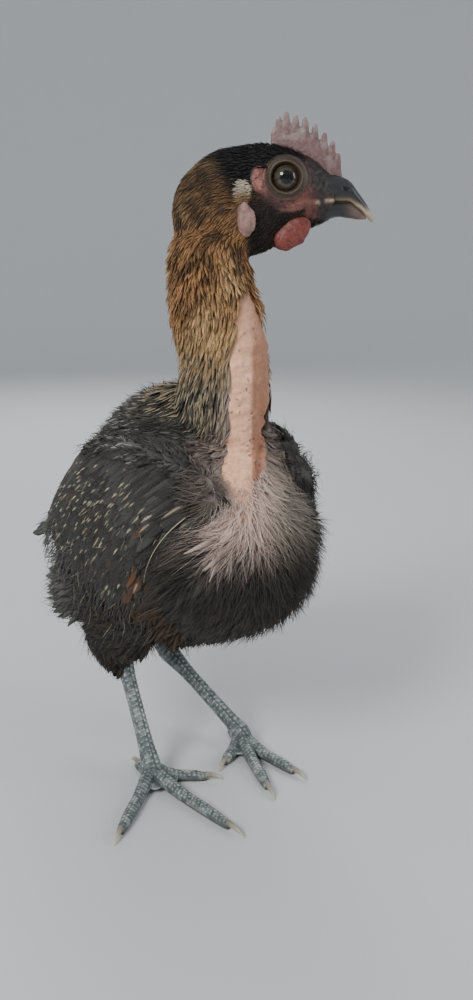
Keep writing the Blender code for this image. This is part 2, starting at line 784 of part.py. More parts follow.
def build_tail():
    """Tail: a short low fan of feathers under its coverts."""
    x, y, z = TAIL_BASE
    rows = [(x, y, z, 15.0, 9.0), (x, y + 12.0, z - 3.0, 14.0, 7.0), (x, y + 22.0, z - 6.0, 12.0, 4.5),
            (x, y + 28.0, z - 8.0, 8.0, 2.0)]
    tail = path_form("tail", rows, 14, 5)
    feathers = []
    for count, length, raised, half in ((RECTRICES, TAIL_LENGTH, 0.0, 7.0), (TAIL_COVERTS, 34.0, 4.5, 6.5)):
        for number in range(count):
            place = 2.0 * (number + 0.5) / count - 1.0
            yaw, roof = place * TAIL_SPREAD, place * TAIL_ROOF
            heading = Vector((math.sin(yaw), math.cos(yaw), -TAIL_DROP)).normalized()
            lower = abs(place) * 9.0 + (1.4 if place < 0 else 0.0)
            root = Vector((x + place * 11.0, y + 2.0, z + raised - lower))
            reach = length * (1.0 - 0.14 * abs(place))
            spine = [root + heading * reach * share for share in VANE_SHARES]
            for index, share in enumerate(VANE_SHARES):
                spine[index].z -= 2.5 * share * share
            outward = [Vector((math.sin(roof), 0.0, math.cos(roof)))] * len(spine)
            feathers.append(lay_vane("feather", spine, outward, half))
    fuse(tail, feathers)
    return cut(tail, [torso_form("cutter", GAP)])


def main():
    """Build the whole bird."""
    remove_everything()
    materials = {name: make_material(name) for name in COLOURS}
    made = [(build_torso(), "feathers"), (build_neck(), "hackle"), (build_head(), "skin")]
    made += [(eye, "eye") for eye in build_eyes()]
    made += [(half, "horn") for half in build_bill()]
    made.append((build_comb(), "comb"))
    made += build_lobes()
    made += build_legs()
    made += [(build_wing(label), "feathers") for label in FEET]
    made.append((build_tail(), "feathers"))
    for item, material in made:
        finish(item, materials[material])


main()
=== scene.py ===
"""Looks of the young ayam ketawa: skin, feathers, scales, bill, comb and eyes round the part.

Shapes are worked out in millimetres in the bird's own frame, whose zero lies between its
feet on the floor, and are moved into the row's frame, in metres, when a piece is made.
"""
import math

import bpy
import numpy as np
from mathutils.bvhtree import BVHTree
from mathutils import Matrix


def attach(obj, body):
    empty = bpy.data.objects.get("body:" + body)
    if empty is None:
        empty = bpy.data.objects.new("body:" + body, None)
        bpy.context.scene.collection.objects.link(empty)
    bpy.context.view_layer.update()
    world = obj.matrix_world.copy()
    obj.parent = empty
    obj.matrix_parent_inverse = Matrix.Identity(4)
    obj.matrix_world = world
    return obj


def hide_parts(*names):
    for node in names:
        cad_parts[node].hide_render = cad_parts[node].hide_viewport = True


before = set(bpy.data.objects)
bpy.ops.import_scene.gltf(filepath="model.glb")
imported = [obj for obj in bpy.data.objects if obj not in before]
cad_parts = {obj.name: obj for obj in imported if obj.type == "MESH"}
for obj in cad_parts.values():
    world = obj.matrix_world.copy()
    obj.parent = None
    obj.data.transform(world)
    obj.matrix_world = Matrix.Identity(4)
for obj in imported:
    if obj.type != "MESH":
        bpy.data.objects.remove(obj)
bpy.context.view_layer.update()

MM = 0.001
ORIGIN = np.array([-10.2, 36.9, 0.0])
FORWARD, LEFT, UP = np.array([0.0, -1, 0]), np.array([1.0, 0, 0]), np.array([0.0, 0, 1])
SIDES = {"right": -1.0, "left": 1.0}

# The camera of the photograph, and the floor and lights of the studio in metres.
CAMERA_PLACE = np.array([-303.1, -396.6, 291.0])
CAMERA_TILT, CAMERA_HEADING = math.radians(75), math.radians(-40)
LENS, SENSOR, CLIP = 34.56, 36, (0.01, 50)
ACROSS = np.array([math.cos(CAMERA_HEADING), math.sin(CAMERA_HEADING), 0])
FLOOR_FLAT, FLOOR_BEND, FLOOR_TOP, FLOOR_SIDES = 1.7, 0.9, 1.3, 96
FLOOR_COLOUR, SKY_COLOUR, SKY_STRENGTH = (0.62, 0.63, 0.64, 1), (0.72, 0.76, 0.80, 1), 0.7
LIGHT_TARGET = np.array([0, 0, 0.2])
LIGHTS = {"key": ((-1.2, -0.4, 1.0), 0.55, 17, (1, 0.98, 0.95)),
          "fill": ((0.8, -1.0, 0.6), 0.8, 6, (0.95, 0.97, 1)),
          "rear": ((0.6, 1.1, 0.9), 0.7, 7, (1, 1, 1))}

HEAD_YAW = math.radians(50)
HEAD_BASE = np.array([-17.1, -20.4, 0])
HEAD_FORWARD = np.array([math.sin(HEAD_YAW), -math.cos(HEAD_YAW), 0])
HEAD_SIDE = np.array([math.cos(HEAD_YAW), math.sin(HEAD_YAW), 0])
HEAD_AXES = (HEAD_FORWARD, UP, HEAD_SIDE)
EYE_ALONG, EYE_HEIGHT = 45.2, 319.8
EYE_OUT, EYE_CAP, EYE_BACK, EYE_OPENING = 13.9, 9.0, 5.0, 6.6
PUPIL, IRIS_EDGE = 2.9, 5.0
LID_WIDTH, LID_REACH, LID_LEVEL, LID_THICK = 2.6, 14.0, 12.35, 0.6
NOSTRIL = (73.3, 315.2, 2.1, 0.95)

# Torso sections along the body: y, top, bottom, half width.
TORSO = [(-68, 143, 122, 12), (-64, 158, 107, 28), (-52, 180, 95, 42), (-35, 202, 87, 49),
         (-15, 220, 79, 51), (5, 225, 73, 52), (25, 220, 71, 52), (45, 206, 72, 50),
         (65, 187, 75, 46), (82, 168, 80, 40), (95, 152, 89, 30), (102, 143, 98, 19),
         (105, 134, 108, 8)]
TORSO_POWER = 2.25
# Swellings of thighs and shoulders on both sides: place, and half sizes.
SWELLS = [((31, 63, 98), (13, 20, 17)), ((31, -36, 172), (11, 20, 14)),
          ((36, -6, 186), (10, 36, 10))]
# Neck sections: x, y, z of the middle, half width, half depth.
NECK = [(0, -17, 186, 27, 24), (0, -24, 214, 26, 24), (-1, -26.5, 232, 24, 23.5),
        (-3.5, -26.5, 247, 23, 23), (-6, -26, 262, 22, 22.5), (-8, -26.5, 277, 21, 22.5),
        (-8.5, -27.5, 291, 19.5, 21.5), (-8.5, -29, 304, 16, 17)]
# Head sections along its own forward axis: along, top, bottom, half width.
HEAD = [(-9.5, 309, 300, 4), (-6, 318, 294, 11), (2, 326, 288, 16), (13, 332.5, 284.5, 18.3),
        (25, 335, 284, 18), (36, 336, 286.5, 16.6), (46, 334.5, 292, 12.8), (56, 330, 296.5, 11),
        (63, 325, 299.5, 8), (68, 321, 302, 5.6)]
UPPER_BILL = [(61, 322, 310.5, 5.6), (69, 321.5, 309.7, 5.8), (75.5, 319, 309.6, 4.9),
              (79.5, 314.2, 306.8, 3.8), (83.3, 309.2, 303.1, 2.8), (86, 305, 300.7, 1.9),
              (87.2, 301.9, 300.2, 0.7)]
LOWER_BILL = [(56, 309.2, 300.5, 5), (63, 309.3, 300.8, 5.2), (70, 309.3, 302.6, 4.5),
              (75.5, 309.1, 302.2, 3.6), (79.5, 306.4, 301.6, 2.6), (83.8, 303.2, 301.4, 0.9)]
COMB_TIPS = [(42, 347.5), (45.6, 349.4), (50, 347.9), (54.3, 347), (58.9, 344.2), (63.4, 340.3),
             (67.3, 336.6), (70, 331.2)]
COMB_TOP = [(38.6, 338), (40, 343.5), (47, 344.8), (52, 341.9), (56.7, 340.2), (61.2, 337.2),
            (65, 333.2), (70.6, 326.5), (72, 321.5)]
COMB_DEEP, COMB_THICK, COMB_POINT = 16.0, 1.7, 9.5
# Sections of a comb point from its root: share of its length, half width.
POINT_ROWS = ((0, 2.3), (0.4, 1.9), (0.72, 1.5), (0.9, 1.15), (1, 0.45))
# Balls that make up wattle and earlobe: along, out, height, and half sizes. The first one leans.
WATTLE_TURN = math.radians(38)
WATTLE_BALLS = [(49, 9, 295.5, (9.8, 6, 2.2)), (45.4, 9.3, 292.4, (5.6, 5.4, 2.5)),
                (50.2, 9.2, 294, (5, 4.6, 2.3))]
LOBE_BALLS = [(27.3, 300.2, (4, 6.6, 2.6)), (26, 305.4, (3, 3.6, 2.2))]
# Toes: heading in degrees from forward to the left, and reach with the claw.
FEET = {
    "right": {"joint": (-31.4, 1.6, 9.5), "hock": (-27.1, 36.1, 68),
              "toes": {"outer": (-52, 63), "middle": (3, 76),
                       "inner": (50, 40), "hallux": (172, 25)}},
    "left": {"joint": (31.4, -1.6, 9.5), "hock": (15.5, 49, 49),
             "toes": {"outer": (3, 54), "middle": (-23, 62),
                      "inner": (-62, 33), "hallux": (160, 25)}},
}
TOE_ROOT, TOE_END = 3.9, 2.5
# Sections of toe, claw and shank: share of the way, half width, height of the middle or depth.
TOE_ROWS = ((0, TOE_ROOT, 7), (0.22, TOE_ROOT * 0.95, 4.2), (0.45, TOE_ROOT * 0.82, 2.7),
            (0.72, TOE_ROOT * 0.8, 2.5), (0.92, TOE_END, 2), (1, TOE_END * 0.8, 2))
CLAW_ROWS = ((0, 1.7, 3.3), (0.35, 1.6, 3.4), (0.7, 1.1, 2.5), (1, 0.35, 0.6))
SHANK_ROWS = ((-0.1, 4.2, 4.6), (0, 5.6, 6.2), (0.12, 4.8, 5.4), (0.3, 3.7, 4.3), (0.6, 3.6, 4.2),
              (0.85, 4.1, 4.4), (1, 5.2, 4.9), (1.09, 3.6, 3.4))
CLAW_LENGTH = {"outer": 9.5, "middle": 11, "inner": 8.5, "hallux": 8}
CLAW_SUNK = 1.6
# Pitch of the plates, width of their row in degrees, and their rise.
SHANK_PLATES, TOE_PLATES = (2.9, 66, 1.0), (2.5, 70, 0.8)
THIGH = {
    "right": [(-30, 10, 116, 19, 31), (-33, 20, 98, 18, 31), (-34, 32, 83, 15, 27),
              (-33, 37, 70, 11.5, 19), (-30, 33.5, 59, 8.5, 10.5), (-28.5, 31, 54, 6, 6.5)],
    "left": [(30, 6, 112, 19, 31), (31, 16, 94, 18, 30), (28, 28, 79, 15.5, 24),
             (22.5, 39, 67, 11, 15), (18.5, 45, 58, 7.5, 8.5), (17, 47, 54, 5.5, 5.5)],
}
WING_ROOTS = [(-57, 171), (-30, 178), (0, 185), (30, 187)]
WING_TIPS = [(-16, 99), (14, 94), (44, 106), (76, 124), (106, 133)]
WRIST = {"right": (-34, -65, 186), "left": (33, -56, 179)}
ARM = [(-42, 180.5, 7.6, 12), (-20, 183, 9, 17.5), (8, 184, 9, 18),
       (32, 177, 7, 12), (50, 168, 4, 5)]
TAIL_BASE = np.array([0.0, 90, 138])
TAIL_STUB = [(0, 90, 138, 13, 7), (0, 102, 135, 12, 5.5), (0, 112, 132, 9, 3.5),
             (0, 118, 130, 5, 1.5)]
# Tiers of the wing: feathers, start, reach, lift, half width. Of the tail: feathers, length,
# height over the base, half width.
FLIGHTS = ((19, -0.10, 1.0, 1.8, 6.2), (16, -0.10, 0.80, 3.2, 6.2), (15, -0.10, 0.62, 4.4, 6.0),
           (14, -0.16, 0.44, 5.6, 5.8))
TAIL_TIERS = ((14, 62, 0.0, 6.2), (10, 40, 4.0, 5.0), (9, 26, 7.5, 4.4))
FLIGHT_STEPS = 12
COVERT_ROWS, COVERTS, WISPS = 21, 32, 1900
COVERT_SHAPE = np.array([0.6, 1, 1.1, 1.1, 1, 0.7, 0.2])
# Outline of the folded wing on the flank, y and z, inside which no body feather grows.
WING_PATCH = [(-50, 162), (-38, 182), (-5, 194), (30, 187), (60, 172), (98, 136), (76, 131),
              (44, 114), (14, 102), (-12, 106)]
# Bare stripe on neck and breast: height, and its two edges across the three-quarter front.
BARE_EDGES = np.array([(150, 11, 32), (165, 12.3, 33.4), (181, 15, 35.5), (200, 17.8, 42),
                       (219, 18.5, 49), (238, 19.2, 44), (257, 23.5, 34), (268, 27, 29)])

# How deep the coat lies over the skin of each form.
DEPTH = {"torso": 6.0, "neck": 4.5, "head": 0.9, "thigh": 4.5}
ARM_DEPTH = {"right": 4.5, "left": 6.5}
WING_FULLNESS = {"right": 1.0, "left": 0.6}
# Distance between the points of each remeshed form.
SKIN_VOXEL, LEG_VOXEL, COMB_VOXEL, LOBE_VOXEL = 0.9, 0.5, 0.4, 0.32
PATCH = 0.003
PIECE_LIMIT = 190000
TRIES = 5.0
rng = np.random.default_rng(20)


def unit(vectors):
    """Vectors of length one along the last axis."""
    return vectors / np.maximum(np.linalg.norm(vectors, axis=-1, keepdims=True), 1e-9)


def dot(a, b):
    """Dot products along the last axis, with that axis kept."""
    return np.sum(a * b, axis=-1, keepdims=True)


def stack(*parts):
    """Arrays side by side along a new last axis."""
    return np.stack(np.broadcast_arrays(*parts), axis=-1)


def smooth(x, low, high):
    """Smooth step from 0 at low to 1 at high."""
    t = np.clip((x - low) / (high - low), 0, 1)
    return t * t * (3 - 2 * t)


def fade(x, low, high):
    """Smooth step from 1 at low to 0 at high."""
    return 1 - smooth(x, low, high)


def band(x, start, full, last, end):
    """Smooth band from 0 at start to 1 at full, and from 1 at last to 0 at end."""
    return smooth(x, start, full) * fade(x, last, end)


def bell(x, middle, width):
    """Bell curve of height 1 round a middle."""
    return np.exp(-((x - middle) / width) ** 2)


def oval(x, y, middle_x, middle_y, wide, high):
    """Distance from a middle, 1 on the edge of an oval."""
    return np.hypot((x - middle_x) / wide, (y - middle_y) / high)


def evenly(count):
    """Places from 0 to 1, both counted in."""
    return np.linspace(0, 1, count)


def circle(count):
    """Angles evenly round a circle."""
    return np.linspace(0, 2 * np.pi, count, endpoint=False)


def spline(rows, places):
    """Rows of numbers read at places from 0 to 1 along a smooth curve through them."""
    rows = np.asarray(rows, float)
    last = len(rows) - 1
    place = np.clip(np.asarray(places, float), 0, 1) * last
    index = np.minimum(place.astype(int), last - 1)
    t = (place - index)[..., None]
    before, start = rows[np.maximum(index - 1, 0)], rows[index]
    end, after = rows[index + 1], rows[np.minimum(index + 2, last)]
    slope_in, slope_out = (end - before) / 2, (after - start) / 2
    return ((2 * t**3 - 3 * t**2 + 1) * start + (t**3 - 2 * t**2 + t) * slope_in
            + (3 * t**2 - 2 * t**3) * end + (t**3 - t**2) * slope_out)


def hash_noise(points, cell, seed):
    """Smooth value noise from 0 to 1 at points, with features of about the cell's size."""
    place = points / cell + seed * 17.31
    base = np.floor(place).astype(np.int64)
    part = place - base
    part = part * part * (3 - 2 * part)
    total = np.zeros(len(points))
    for corner in range(8):
        bits = np.array([corner & 1, corner >> 1 & 1, corner >> 2 & 1])
        node = base + bits
        value = (node[:, 0] * 73856093) ^ (node[:, 1] * 19349663) ^ (node[:, 2] * 83492791)
        value = (value ^ (value >> 13)) * 1274126177 % 65521 / 65521.0
        total += np.prod(np.where(bits == 1, part, 1 - part), axis=1) * value
    return total


def head_point(along, out, height):
    """A place in the head's own frame: along its axis, out to its left, and height."""
    along, out, height = (part[..., None] for part in np.broadcast_arrays(along, out, height))
    return HEAD_BASE + HEAD_FORWARD * along + HEAD_SIDE * out + UP * height


def head_frame(points):
    """Along, out and height of points in the head's own frame."""
    shift = points - HEAD_BASE
    return shift @ HEAD_FORWARD, shift @ HEAD_SIDE, points[..., 2]


def table(rows, keys, values):
    """Rows read by their first number at the given values."""
    dense = spline(rows, evenly(400))
    order = np.argsort(dense[:, 0])
    return [np.interp(values, dense[order, 0], dense[order, key]) for key in keys]


def flank(y, z):
    """Half width of the torso at a place on its side."""
    top, bottom, half = table(TORSO, (1, 2, 3), y)
    share = np.minimum(np.abs(z - (top + bottom) / 2) / ((top - bottom) / 2), 0.97)
    return half * (1 - share**TORSO_POWER) ** (1 / TORSO_POWER)


def long_rings(rows, origin, forward, side, sides, steps, power=2.0, inset=0.0):
    """Rings of a body along a level axis, from rows of along, top, bottom and half width."""
    along, top, bottom, half = spline(rows, evenly(steps + 1)).T[..., None]
    across, up = (np.sign(part) * np.abs(part) ** (2 / power)
                  for part in (np.cos(circle(sides)), np.sin(circle(sides))))
    half = np.maximum(half - inset, 0.4)
    height = np.maximum((top - bottom) / 2 - inset, 0.4)
    rings = origin + forward * along[:, None] + side * (half * across)[..., None]
    rings[..., 2] = (top + bottom) / 2 + height * up
    return rings


def path_rings(rows, sides, steps, hint=LEFT, inset=0.0):
    """Rings of a body along a curved path, from rows of x, y, z, half width and half depth."""
    rows = spline(rows, evenly(steps + 1))
    middle = rows[:, :3]
    tangent = unit(np.gradient(middle, axis=0))
    across = unit(hint - tangent * (tangent @ hint)[:, None])
    front = np.cross(tangent, across)
    angle = circle(sides)[:, None]
    half, depth = (np.maximum(rows[:, key] - inset, 0.3)[:, None, None] for key in (3, 4))
    return (middle[:, None] + across[:, None] * half * np.cos(angle)
            + front[:, None] * depth * np.sin(angle))


def ball_rings(middle, radii, axes, sides=32, steps=20):
    """Rings of an ellipsoid with half sizes along three axes; the rings stack along the last."""
    polar = np.linspace(0.02, np.pi - 0.02, steps)[:, None]
    angle = circle(sides)
    rings = np.zeros((steps, sides, 3)) + middle
    rings += axes[0] * radii[0] * (np.sin(polar) * np.cos(angle))[..., None]
    rings += axes[1] * radii[1] * (np.sin(polar) * np.sin(angle))[..., None]
    rings += axes[2] * radii[2] * np.cos(polar)[:, None]
    return rings


def ring_quads(index):
    """Faces between neighbouring rings of vertex numbers, each ring closed on itself."""
    turned = np.roll(index, -1, axis=-1)
    return np.stack([index[..., :-1, :], turned[..., :-1, :], turned[..., 1:, :],
                     index[..., 1:, :]], axis=-1).reshape(-1, 4)


def tube_mesh(rings):
    """Vertices and faces of a closed skin over rings."""
    index = np.arange(rings.shape[0] * rings.shape[1]).reshape(rings.shape[:2])
    return rings.reshape(-1, 3), [ring_quads(index), index[0][::-1][None], index[-1][None]]


def flat32(values):
    """One plain row of single floats."""
    return np.ascontiguousarray(values, np.float32).ravel()


def new_mesh(name, points, faces):
    """A mesh from points and a list of face arrays."""
    mesh = bpy.data.meshes.new(name)
    mesh.vertices.add(len(points))
    mesh.vertices.foreach_set("co", flat32(points))
    corners = np.concatenate([face.ravel() for face in faces]).astype(np.int32)
    sizes = np.concatenate([np.full(len(face), face.shape[1]) for face in faces]).astype(np.int32)
    starts = np.concatenate([[0], np.cumsum(sizes)[:-1]]).astype(np.int32)
    mesh.loops.add(len(corners))
    mesh.loops.foreach_set("vertex_index", corners)
    mesh.polygons.add(len(sizes))
    mesh.polygons.foreach_set("loop_start", starts)
    mesh.polygons.foreach_set("loop_total", sizes)
    mesh.update(calc_edges=True)
    mesh.validate()
    mesh.polygons.foreach_set("use_smooth", np.ones(len(mesh.polygons), bool))
    return mesh


def new_object(name, data):
    """An object linked to the scene."""
    item = bpy.data.objects.new(name, data)
    bpy.context.scene.collection.objects.link(item)
    return item


def mesh_points(mesh):
    """Vertex places of a mesh."""
    points = np.zeros(len(mesh.vertices) * 3, np.float32)
    mesh.vertices.foreach_get("co", points)
    return points.reshape(-1, 3).astype(float)


def mesh_triangles(mesh):
    """Vertex numbers of a mesh's triangles."""
    mesh.calc_loop_triangles()
    corners = np.zeros(len(mesh.loop_triangles) * 3, np.int32)
    mesh.loop_triangles.foreach_get("vertices", corners)
    return corners.reshape(-1, 3)


def mesh_normals(points, triangles):
    """Vertex normals, weighted by area."""
    a, b, c = (points[triangles[:, corner]] for corner in range(3))
    cross = np.cross(b - a, c - a)
    normals = np.zeros_like(points)
    for corner in range(3):
        for axis in range(3):
            normals[:, axis] += np.bincount(triangles[:, corner], cross[:, axis], len(points))
    return unit(normals)


def neighbour_mean(values, triangles):
    """Mean of each vertex's neighbours."""
    values = values.reshape(len(values), -1)
    total, count = np.zeros_like(values), np.zeros(len(values))
    for first, second in ((0, 1), (1, 2), (2, 0), (1, 0), (2, 1), (0, 2)):
        count += np.bincount(triangles[:, first], minlength=len(values))
        for axis in range(values.shape[1]):
            total[:, axis] += np.bincount(triangles[:, first],
                                          values[triangles[:, second], axis], len(values))
    return total / np.maximum(count, 1)[:, None]


def relax(points, triangles, times, share=0.5):
    """Points moved towards the mean of their neighbours, several times."""
    for _ in range(times):
        points = points + share * (neighbour_mean(points, triangles) - points)
    return points


def softened(mask, triangles):
    """A mask on a mesh with its edges spread over a few millimetres."""
    for _ in range(30):
        mask = 0.4 * mask + 0.6 * neighbour_mean(mask, triangles)[:, 0]
    return mask


def evaluated(item):
    """An object's mesh with its modifiers worked in."""
    graph = bpy.context.evaluated_depsgraph_get()
    return bpy.data.meshes.new_from_object(item.evaluated_get(graph))


def fused(solids, voxel, keep=None):
    """One closed surface round several solids: its points and triangles.

    keep is a function of the points that is 0 where the surface may be thinned out.
    """
    points, faces, offset = [], [], 0
    for rings in solids:
        vertices, parts = tube_mesh(rings)
        points.append(vertices)
        faces += [part + offset for part in parts]
        offset += len(vertices)
    item = new_object("fused", new_mesh("fused", np.concatenate(points), faces))
    remesh = item.modifiers.new("remesh", "REMESH")
    remesh.mode, remesh.voxel_size = "VOXEL", voxel
    mesh = evaluated(item)
    if keep is not None:
        item.modifiers.clear()
        item.data = mesh
        loose = np.nonzero(keep(mesh_points(mesh)) < 0.5)[0]
        item.vertex_groups.new(name="thin").add(loose.tolist(), 1.0, "REPLACE")
        thin = item.modifiers.new("thin", "DECIMATE")
        thin.ratio = 1 - 0.8 * len(loose) / len(mesh.vertices)
        thin.vertex_group = "thin"
        mesh = evaluated(item)
    bpy.data.objects.remove(item, do_unlink=True)
    return mesh_points(mesh), mesh_triangles(mesh)


def make_piece(name, points, faces, material, slot, tint, replaces=(), blade=None, patch=None):
    """A piece of the render from points in the bird's frame, and the nodes it stands for."""
    mesh = new_mesh(name, (points - ORIGIN) * MM, faces)
    colours = np.concatenate([tint, np.ones((len(tint), 1))], axis=1)
    mesh.attributes.new("tint", "FLOAT_COLOR", "POINT").data.foreach_set("color", flat32(colours))
    if blade is not None:
        shape = mesh.attributes.new("blade", "FLOAT_VECTOR", "POINT")
        shape.data.foreach_set("vector", flat32(blade))
        corners = np.zeros(len(mesh.loops), np.int32)
        mesh.loops.foreach_get("vertex_index", corners)
        mesh.uv_layers.new(name="OFBake").data.foreach_set("uv", flat32(patch[corners]))
    mesh.materials.append(material)
    item = new_object(name, mesh)
    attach(item, "root")
    if replaces:
        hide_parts(*replaces)


def srgb(red, green, blue):
    """Linear colour from 8-bit screen values."""
    value = np.array([red, green, blue]) / 255.0
    return np.where(value <= 0.04045, value / 12.92, ((value + 0.055) / 1.055) ** 2.4)


def mix(a, b, share):
    """Blend of two colours by a share for each point."""
    share = np.asarray(share)[..., None]
    return a * (1 - share) + b * share


# Colours of the coat, then of bare skin, face, comb and lobes, then of eye, bill, legs and claws.
CHARCOAL, SLATE = srgb(46, 44, 41), srgb(67, 67, 65)
BLACK, SMOKE = srgb(20, 19, 20), srgb(94, 93, 90)
GOLD, TAN = srgb(152, 113, 76), srgb(178, 147, 106)
UMBER, OLIVE = srgb(52, 42, 33), srgb(84, 80, 66)
CREAM, BUFF, RUFOUS = srgb(200, 190, 160), srgb(176, 160, 134), srgb(126, 82, 54)
DOWN, DOWN_BESIDE = srgb(224, 201, 190), srgb(148, 132, 123)
# The second of these down colours is painted paler, as painted light on the breast's side towards
# the bird's left.
DOWN_NEAR, DOWN_FAR_LIT = srgb(140, 135, 129), srgb(170, 160, 148)
TUFT_ROOT, TUFT = srgb(156, 128, 94), srgb(216, 206, 186)
BARE, BARE_SHADE = srgb(255, 200, 163), srgb(178, 124, 96)
FACE, BLUSH, MAROON = srgb(112, 66, 58), srgb(140, 96, 86), srgb(62, 38, 37)
FACE_DARK, FACE_RED = srgb(72, 42, 38), srgb(102, 57, 50)
PATCH_DARK, PATCH_PALE = srgb(116, 72, 64), srgb(150, 102, 90)
FACE_FRONT, FACE_GAPE, FACE_BEHIND = srgb(48, 32, 32), srgb(39, 34, 31), srgb(52, 36, 32)
COMB, COMB_PALE, LOBE = srgb(124, 97, 96), srgb(150, 138, 132), srgb(144, 111, 103)
WATTLE, LID = srgb(118, 56, 49), srgb(74, 62, 50)
IRIS_DARK, IRIS, IRIS_RIM = srgb(46, 41, 34), srgb(80, 71, 58), srgb(26, 23, 20)
HORN, HORN_PALE, HORN_WARM = srgb(34, 35, 37), srgb(180, 162, 136), srgb(118, 97, 87)
# Of the leg colours, the second is a painted highlight for the raised plates and the third is
# painted shade low on the foot by the floor.
LEG, LEG_HIGHLIGHT, LEG_SOLE_SHADE = srgb(96, 106, 108), srgb(196, 202, 196), srgb(80, 79, 73)
CLAW_ROOT, CLAW_TIP = srgb(120, 112, 100), srgb(196, 188, 168)


def wire(tree, node, inputs):
    """Set or link the inputs of a shader node."""
    for key, value in inputs.items():
        if isinstance(value, bpy.types.NodeSocket):
            tree.links.new(value, node.inputs[key])
        else:
            node.inputs[key].default_value = value


def add_node(tree, kind, inputs, **settings):
    """The outputs of a new shader node."""
    node = tree.nodes.new("ShaderNode" + kind)
    for key, value in settings.items():
        setattr(node, key, value)
    wire(tree, node, inputs)
    return node.outputs


def node_material(name, roughness, scale, contrast, bump, specular, sheen=0.0, barbs=False):
    """A Principled material that takes its colour from the piece's tint, with fine variation.

    barbs gives it the fine barbs that run out from the shaft of each feather.
    """
    material = bpy.data.materials.new(name)
    material.use_nodes = True
    tree = material.node_tree
    tint = add_node(tree, "Attribute", {}, attribute_name="tint")["Color"]
    place = add_node(tree, "TexCoord", {})["Object"]
    fine = add_node(tree, "TexNoise", {"Scale": scale, "Detail": 4, "Vector": place})["Fac"]
    span = add_node(tree, "MapRange", {"Value": fine, "From Min": 0.3, "From Max": 0.7,
                                       "To Min": 1 - contrast, "To Max": 1 + contrast})["Result"]
    shade = add_node(tree, "VectorMath", {0: tint, "Scale": span}, operation="SCALE")["Vector"]
    if barbs:
        blade = add_node(tree, "Attribute", {}, attribute_name="blade")["Vector"]
        parts = add_node(tree, "SeparateXYZ", {"Vector": blade})
        fine = add_node(tree, "Math", {0: parts["X"]}, operation="ABSOLUTE")["Value"]
        for operation, inputs in (("MULTIPLY_ADD", {1: -1.3, 2: parts["Y"]}),
                                  ("MULTIPLY", {1: 9}), ("SINE", {})):
            fine = add_node(tree, "Math", {0: fine, **inputs}, operation=operation)["Value"]
    relief = add_node(tree, "Bump", {"Strength": bump, "Height": fine,
                                     "Distance": 0.0002 if barbs else 0.0004})
    shader = tree.nodes["Principled BSDF"]
    wire(tree, shader, {"Base Color": shade, "Normal": relief["Normal"], "Roughness": roughness,
                        "Specular IOR Level": specular, "Sheen Weight": sheen})
    return material


SKIN = node_material("skin", 0.55, 700, 0.16, 0.5, 0.4)
FLESH = node_material("flesh", 0.5, 900, 0.12, 0.45, 0.45)
DOWNY = node_material("downy", 0.8, 1200, 0.18, 0.2, 0.15, 0.04)
VANES = node_material("vanes", 0.6, 900, 0.12, 0.35, 0.22, barbs=True)
SCALES = node_material("scales", 0.5, 1500, 0.15, 0.35, 0.4)
HORN_LOOK = node_material("horn", 0.38, 500, 0.14, 0.2, 0.5)
CLAW = node_material("claw", 0.45, 600, 0.12, 0.25, 0.45)
EYE = node_material("eye", 0.05, 300, 0.05, 0, 0.35)
wire(EYE.node_tree, EYE.node_tree.nodes["Principled BSDF"],
     {"Coat Weight": 0.35, "Coat Roughness": 0.02})


def wing_side(side, y, z):
    """Half width of the body where the wing lies, filled out towards the wrist."""
    wrist = WRIST["right" if side < 0 else "left"]
    near = bell(y, wrist[1], 26) * bell(z, wrist[2], 34)
    body = flank(np.clip(y, -60, 92), np.maximum(z, 96))
    return body + near * np.maximum(abs(wrist[0]) - body, 0) * 0.7


def wing_normal(side, y, z):
    """Direction out of the flank where the wing lies."""
    step = 4.0
    slope_z = (wing_side(side, y, z + step) - wing_side(side, y, z - step)) / (2 * step)
    slope_y = (wing_side(side, y + step, z) - wing_side(side, y - step, z)) / (2 * step)
    return unit(stack(side, -slope_y, -slope_z))


def wing_rows(side, across, down, lift):
    """Places on the wing and directions out of it: across from front to back, and down."""
    root, tip = spline(WING_ROOTS, across), spline(WING_TIPS, across)
    y = root[..., 0] + (tip[..., 0] - root[..., 0]) * down
    z = root[..., 1] + (tip[..., 1] - root[..., 1]) * down + 3.0 * np.sin(np.pi * down)
    return stack(side * (wing_side(side, y, z) + lift), y, z), wing_normal(side, y, z)


def arm_rings(label, inset):
    """The folded arm of a wing, from the wrist back to the elbow."""
    side, (x, front, level) = SIDES[label], WRIST[label]
    rows = [(x, front + 4, level - 4, 3.6, 4), (x, front + 8, level - 4, 5.6, 8)]
    for y, z, half, depth in ARM:
        out = float(wing_side(side, np.array(y), np.array(z)))
        rows.append((side * (out + 0.5), y, z, half, depth))
    return path_rings(rows, 28, 40, inset=inset)


def neck_angle(points):
    """Angle of points about the neck's axis, from the front towards the bird's left."""
    x, y, z = spline(NECK, evenly(200))[:, :3].T
    return np.degrees(np.arctan2(points[:, 0] - np.interp(points[:, 2], z, x),
                                 np.interp(points[:, 2], z, y) - points[:, 1]))


def bare_mask(points):
    """1 on the bare skin down the front of the neck, 0 where feathers cover it."""
    x, y, z = points.T
    wander = 5.0 * (hash_noise(points, 6, 3) - 0.5)
    level = z + 6.0 * (hash_noise(points, 8, 6) - 0.5)
    across = points @ ACROSS + wander
    start, end = (np.interp(level, BARE_EDGES[:, 0], BARE_EDGES[:, key]) for key in (1, 2))
    inside = band(across, start - 1.5, start + 1.5, end - 1.5, end + 1.5)
    turned = 1 - smooth(neck_angle(points) + wander, 54, 62) * smooth(z, 204, 216)
    limit = 27.0 - 5.0 * smooth(z, 166, 176) - 6.0 * band(z, 182, 196, 210, 222)
    between = fade(np.abs(x), limit, limit + 4)
    return inside * fade(level, 262, 268) * smooth(level, 148, 170) * turned * between * (y < -22)


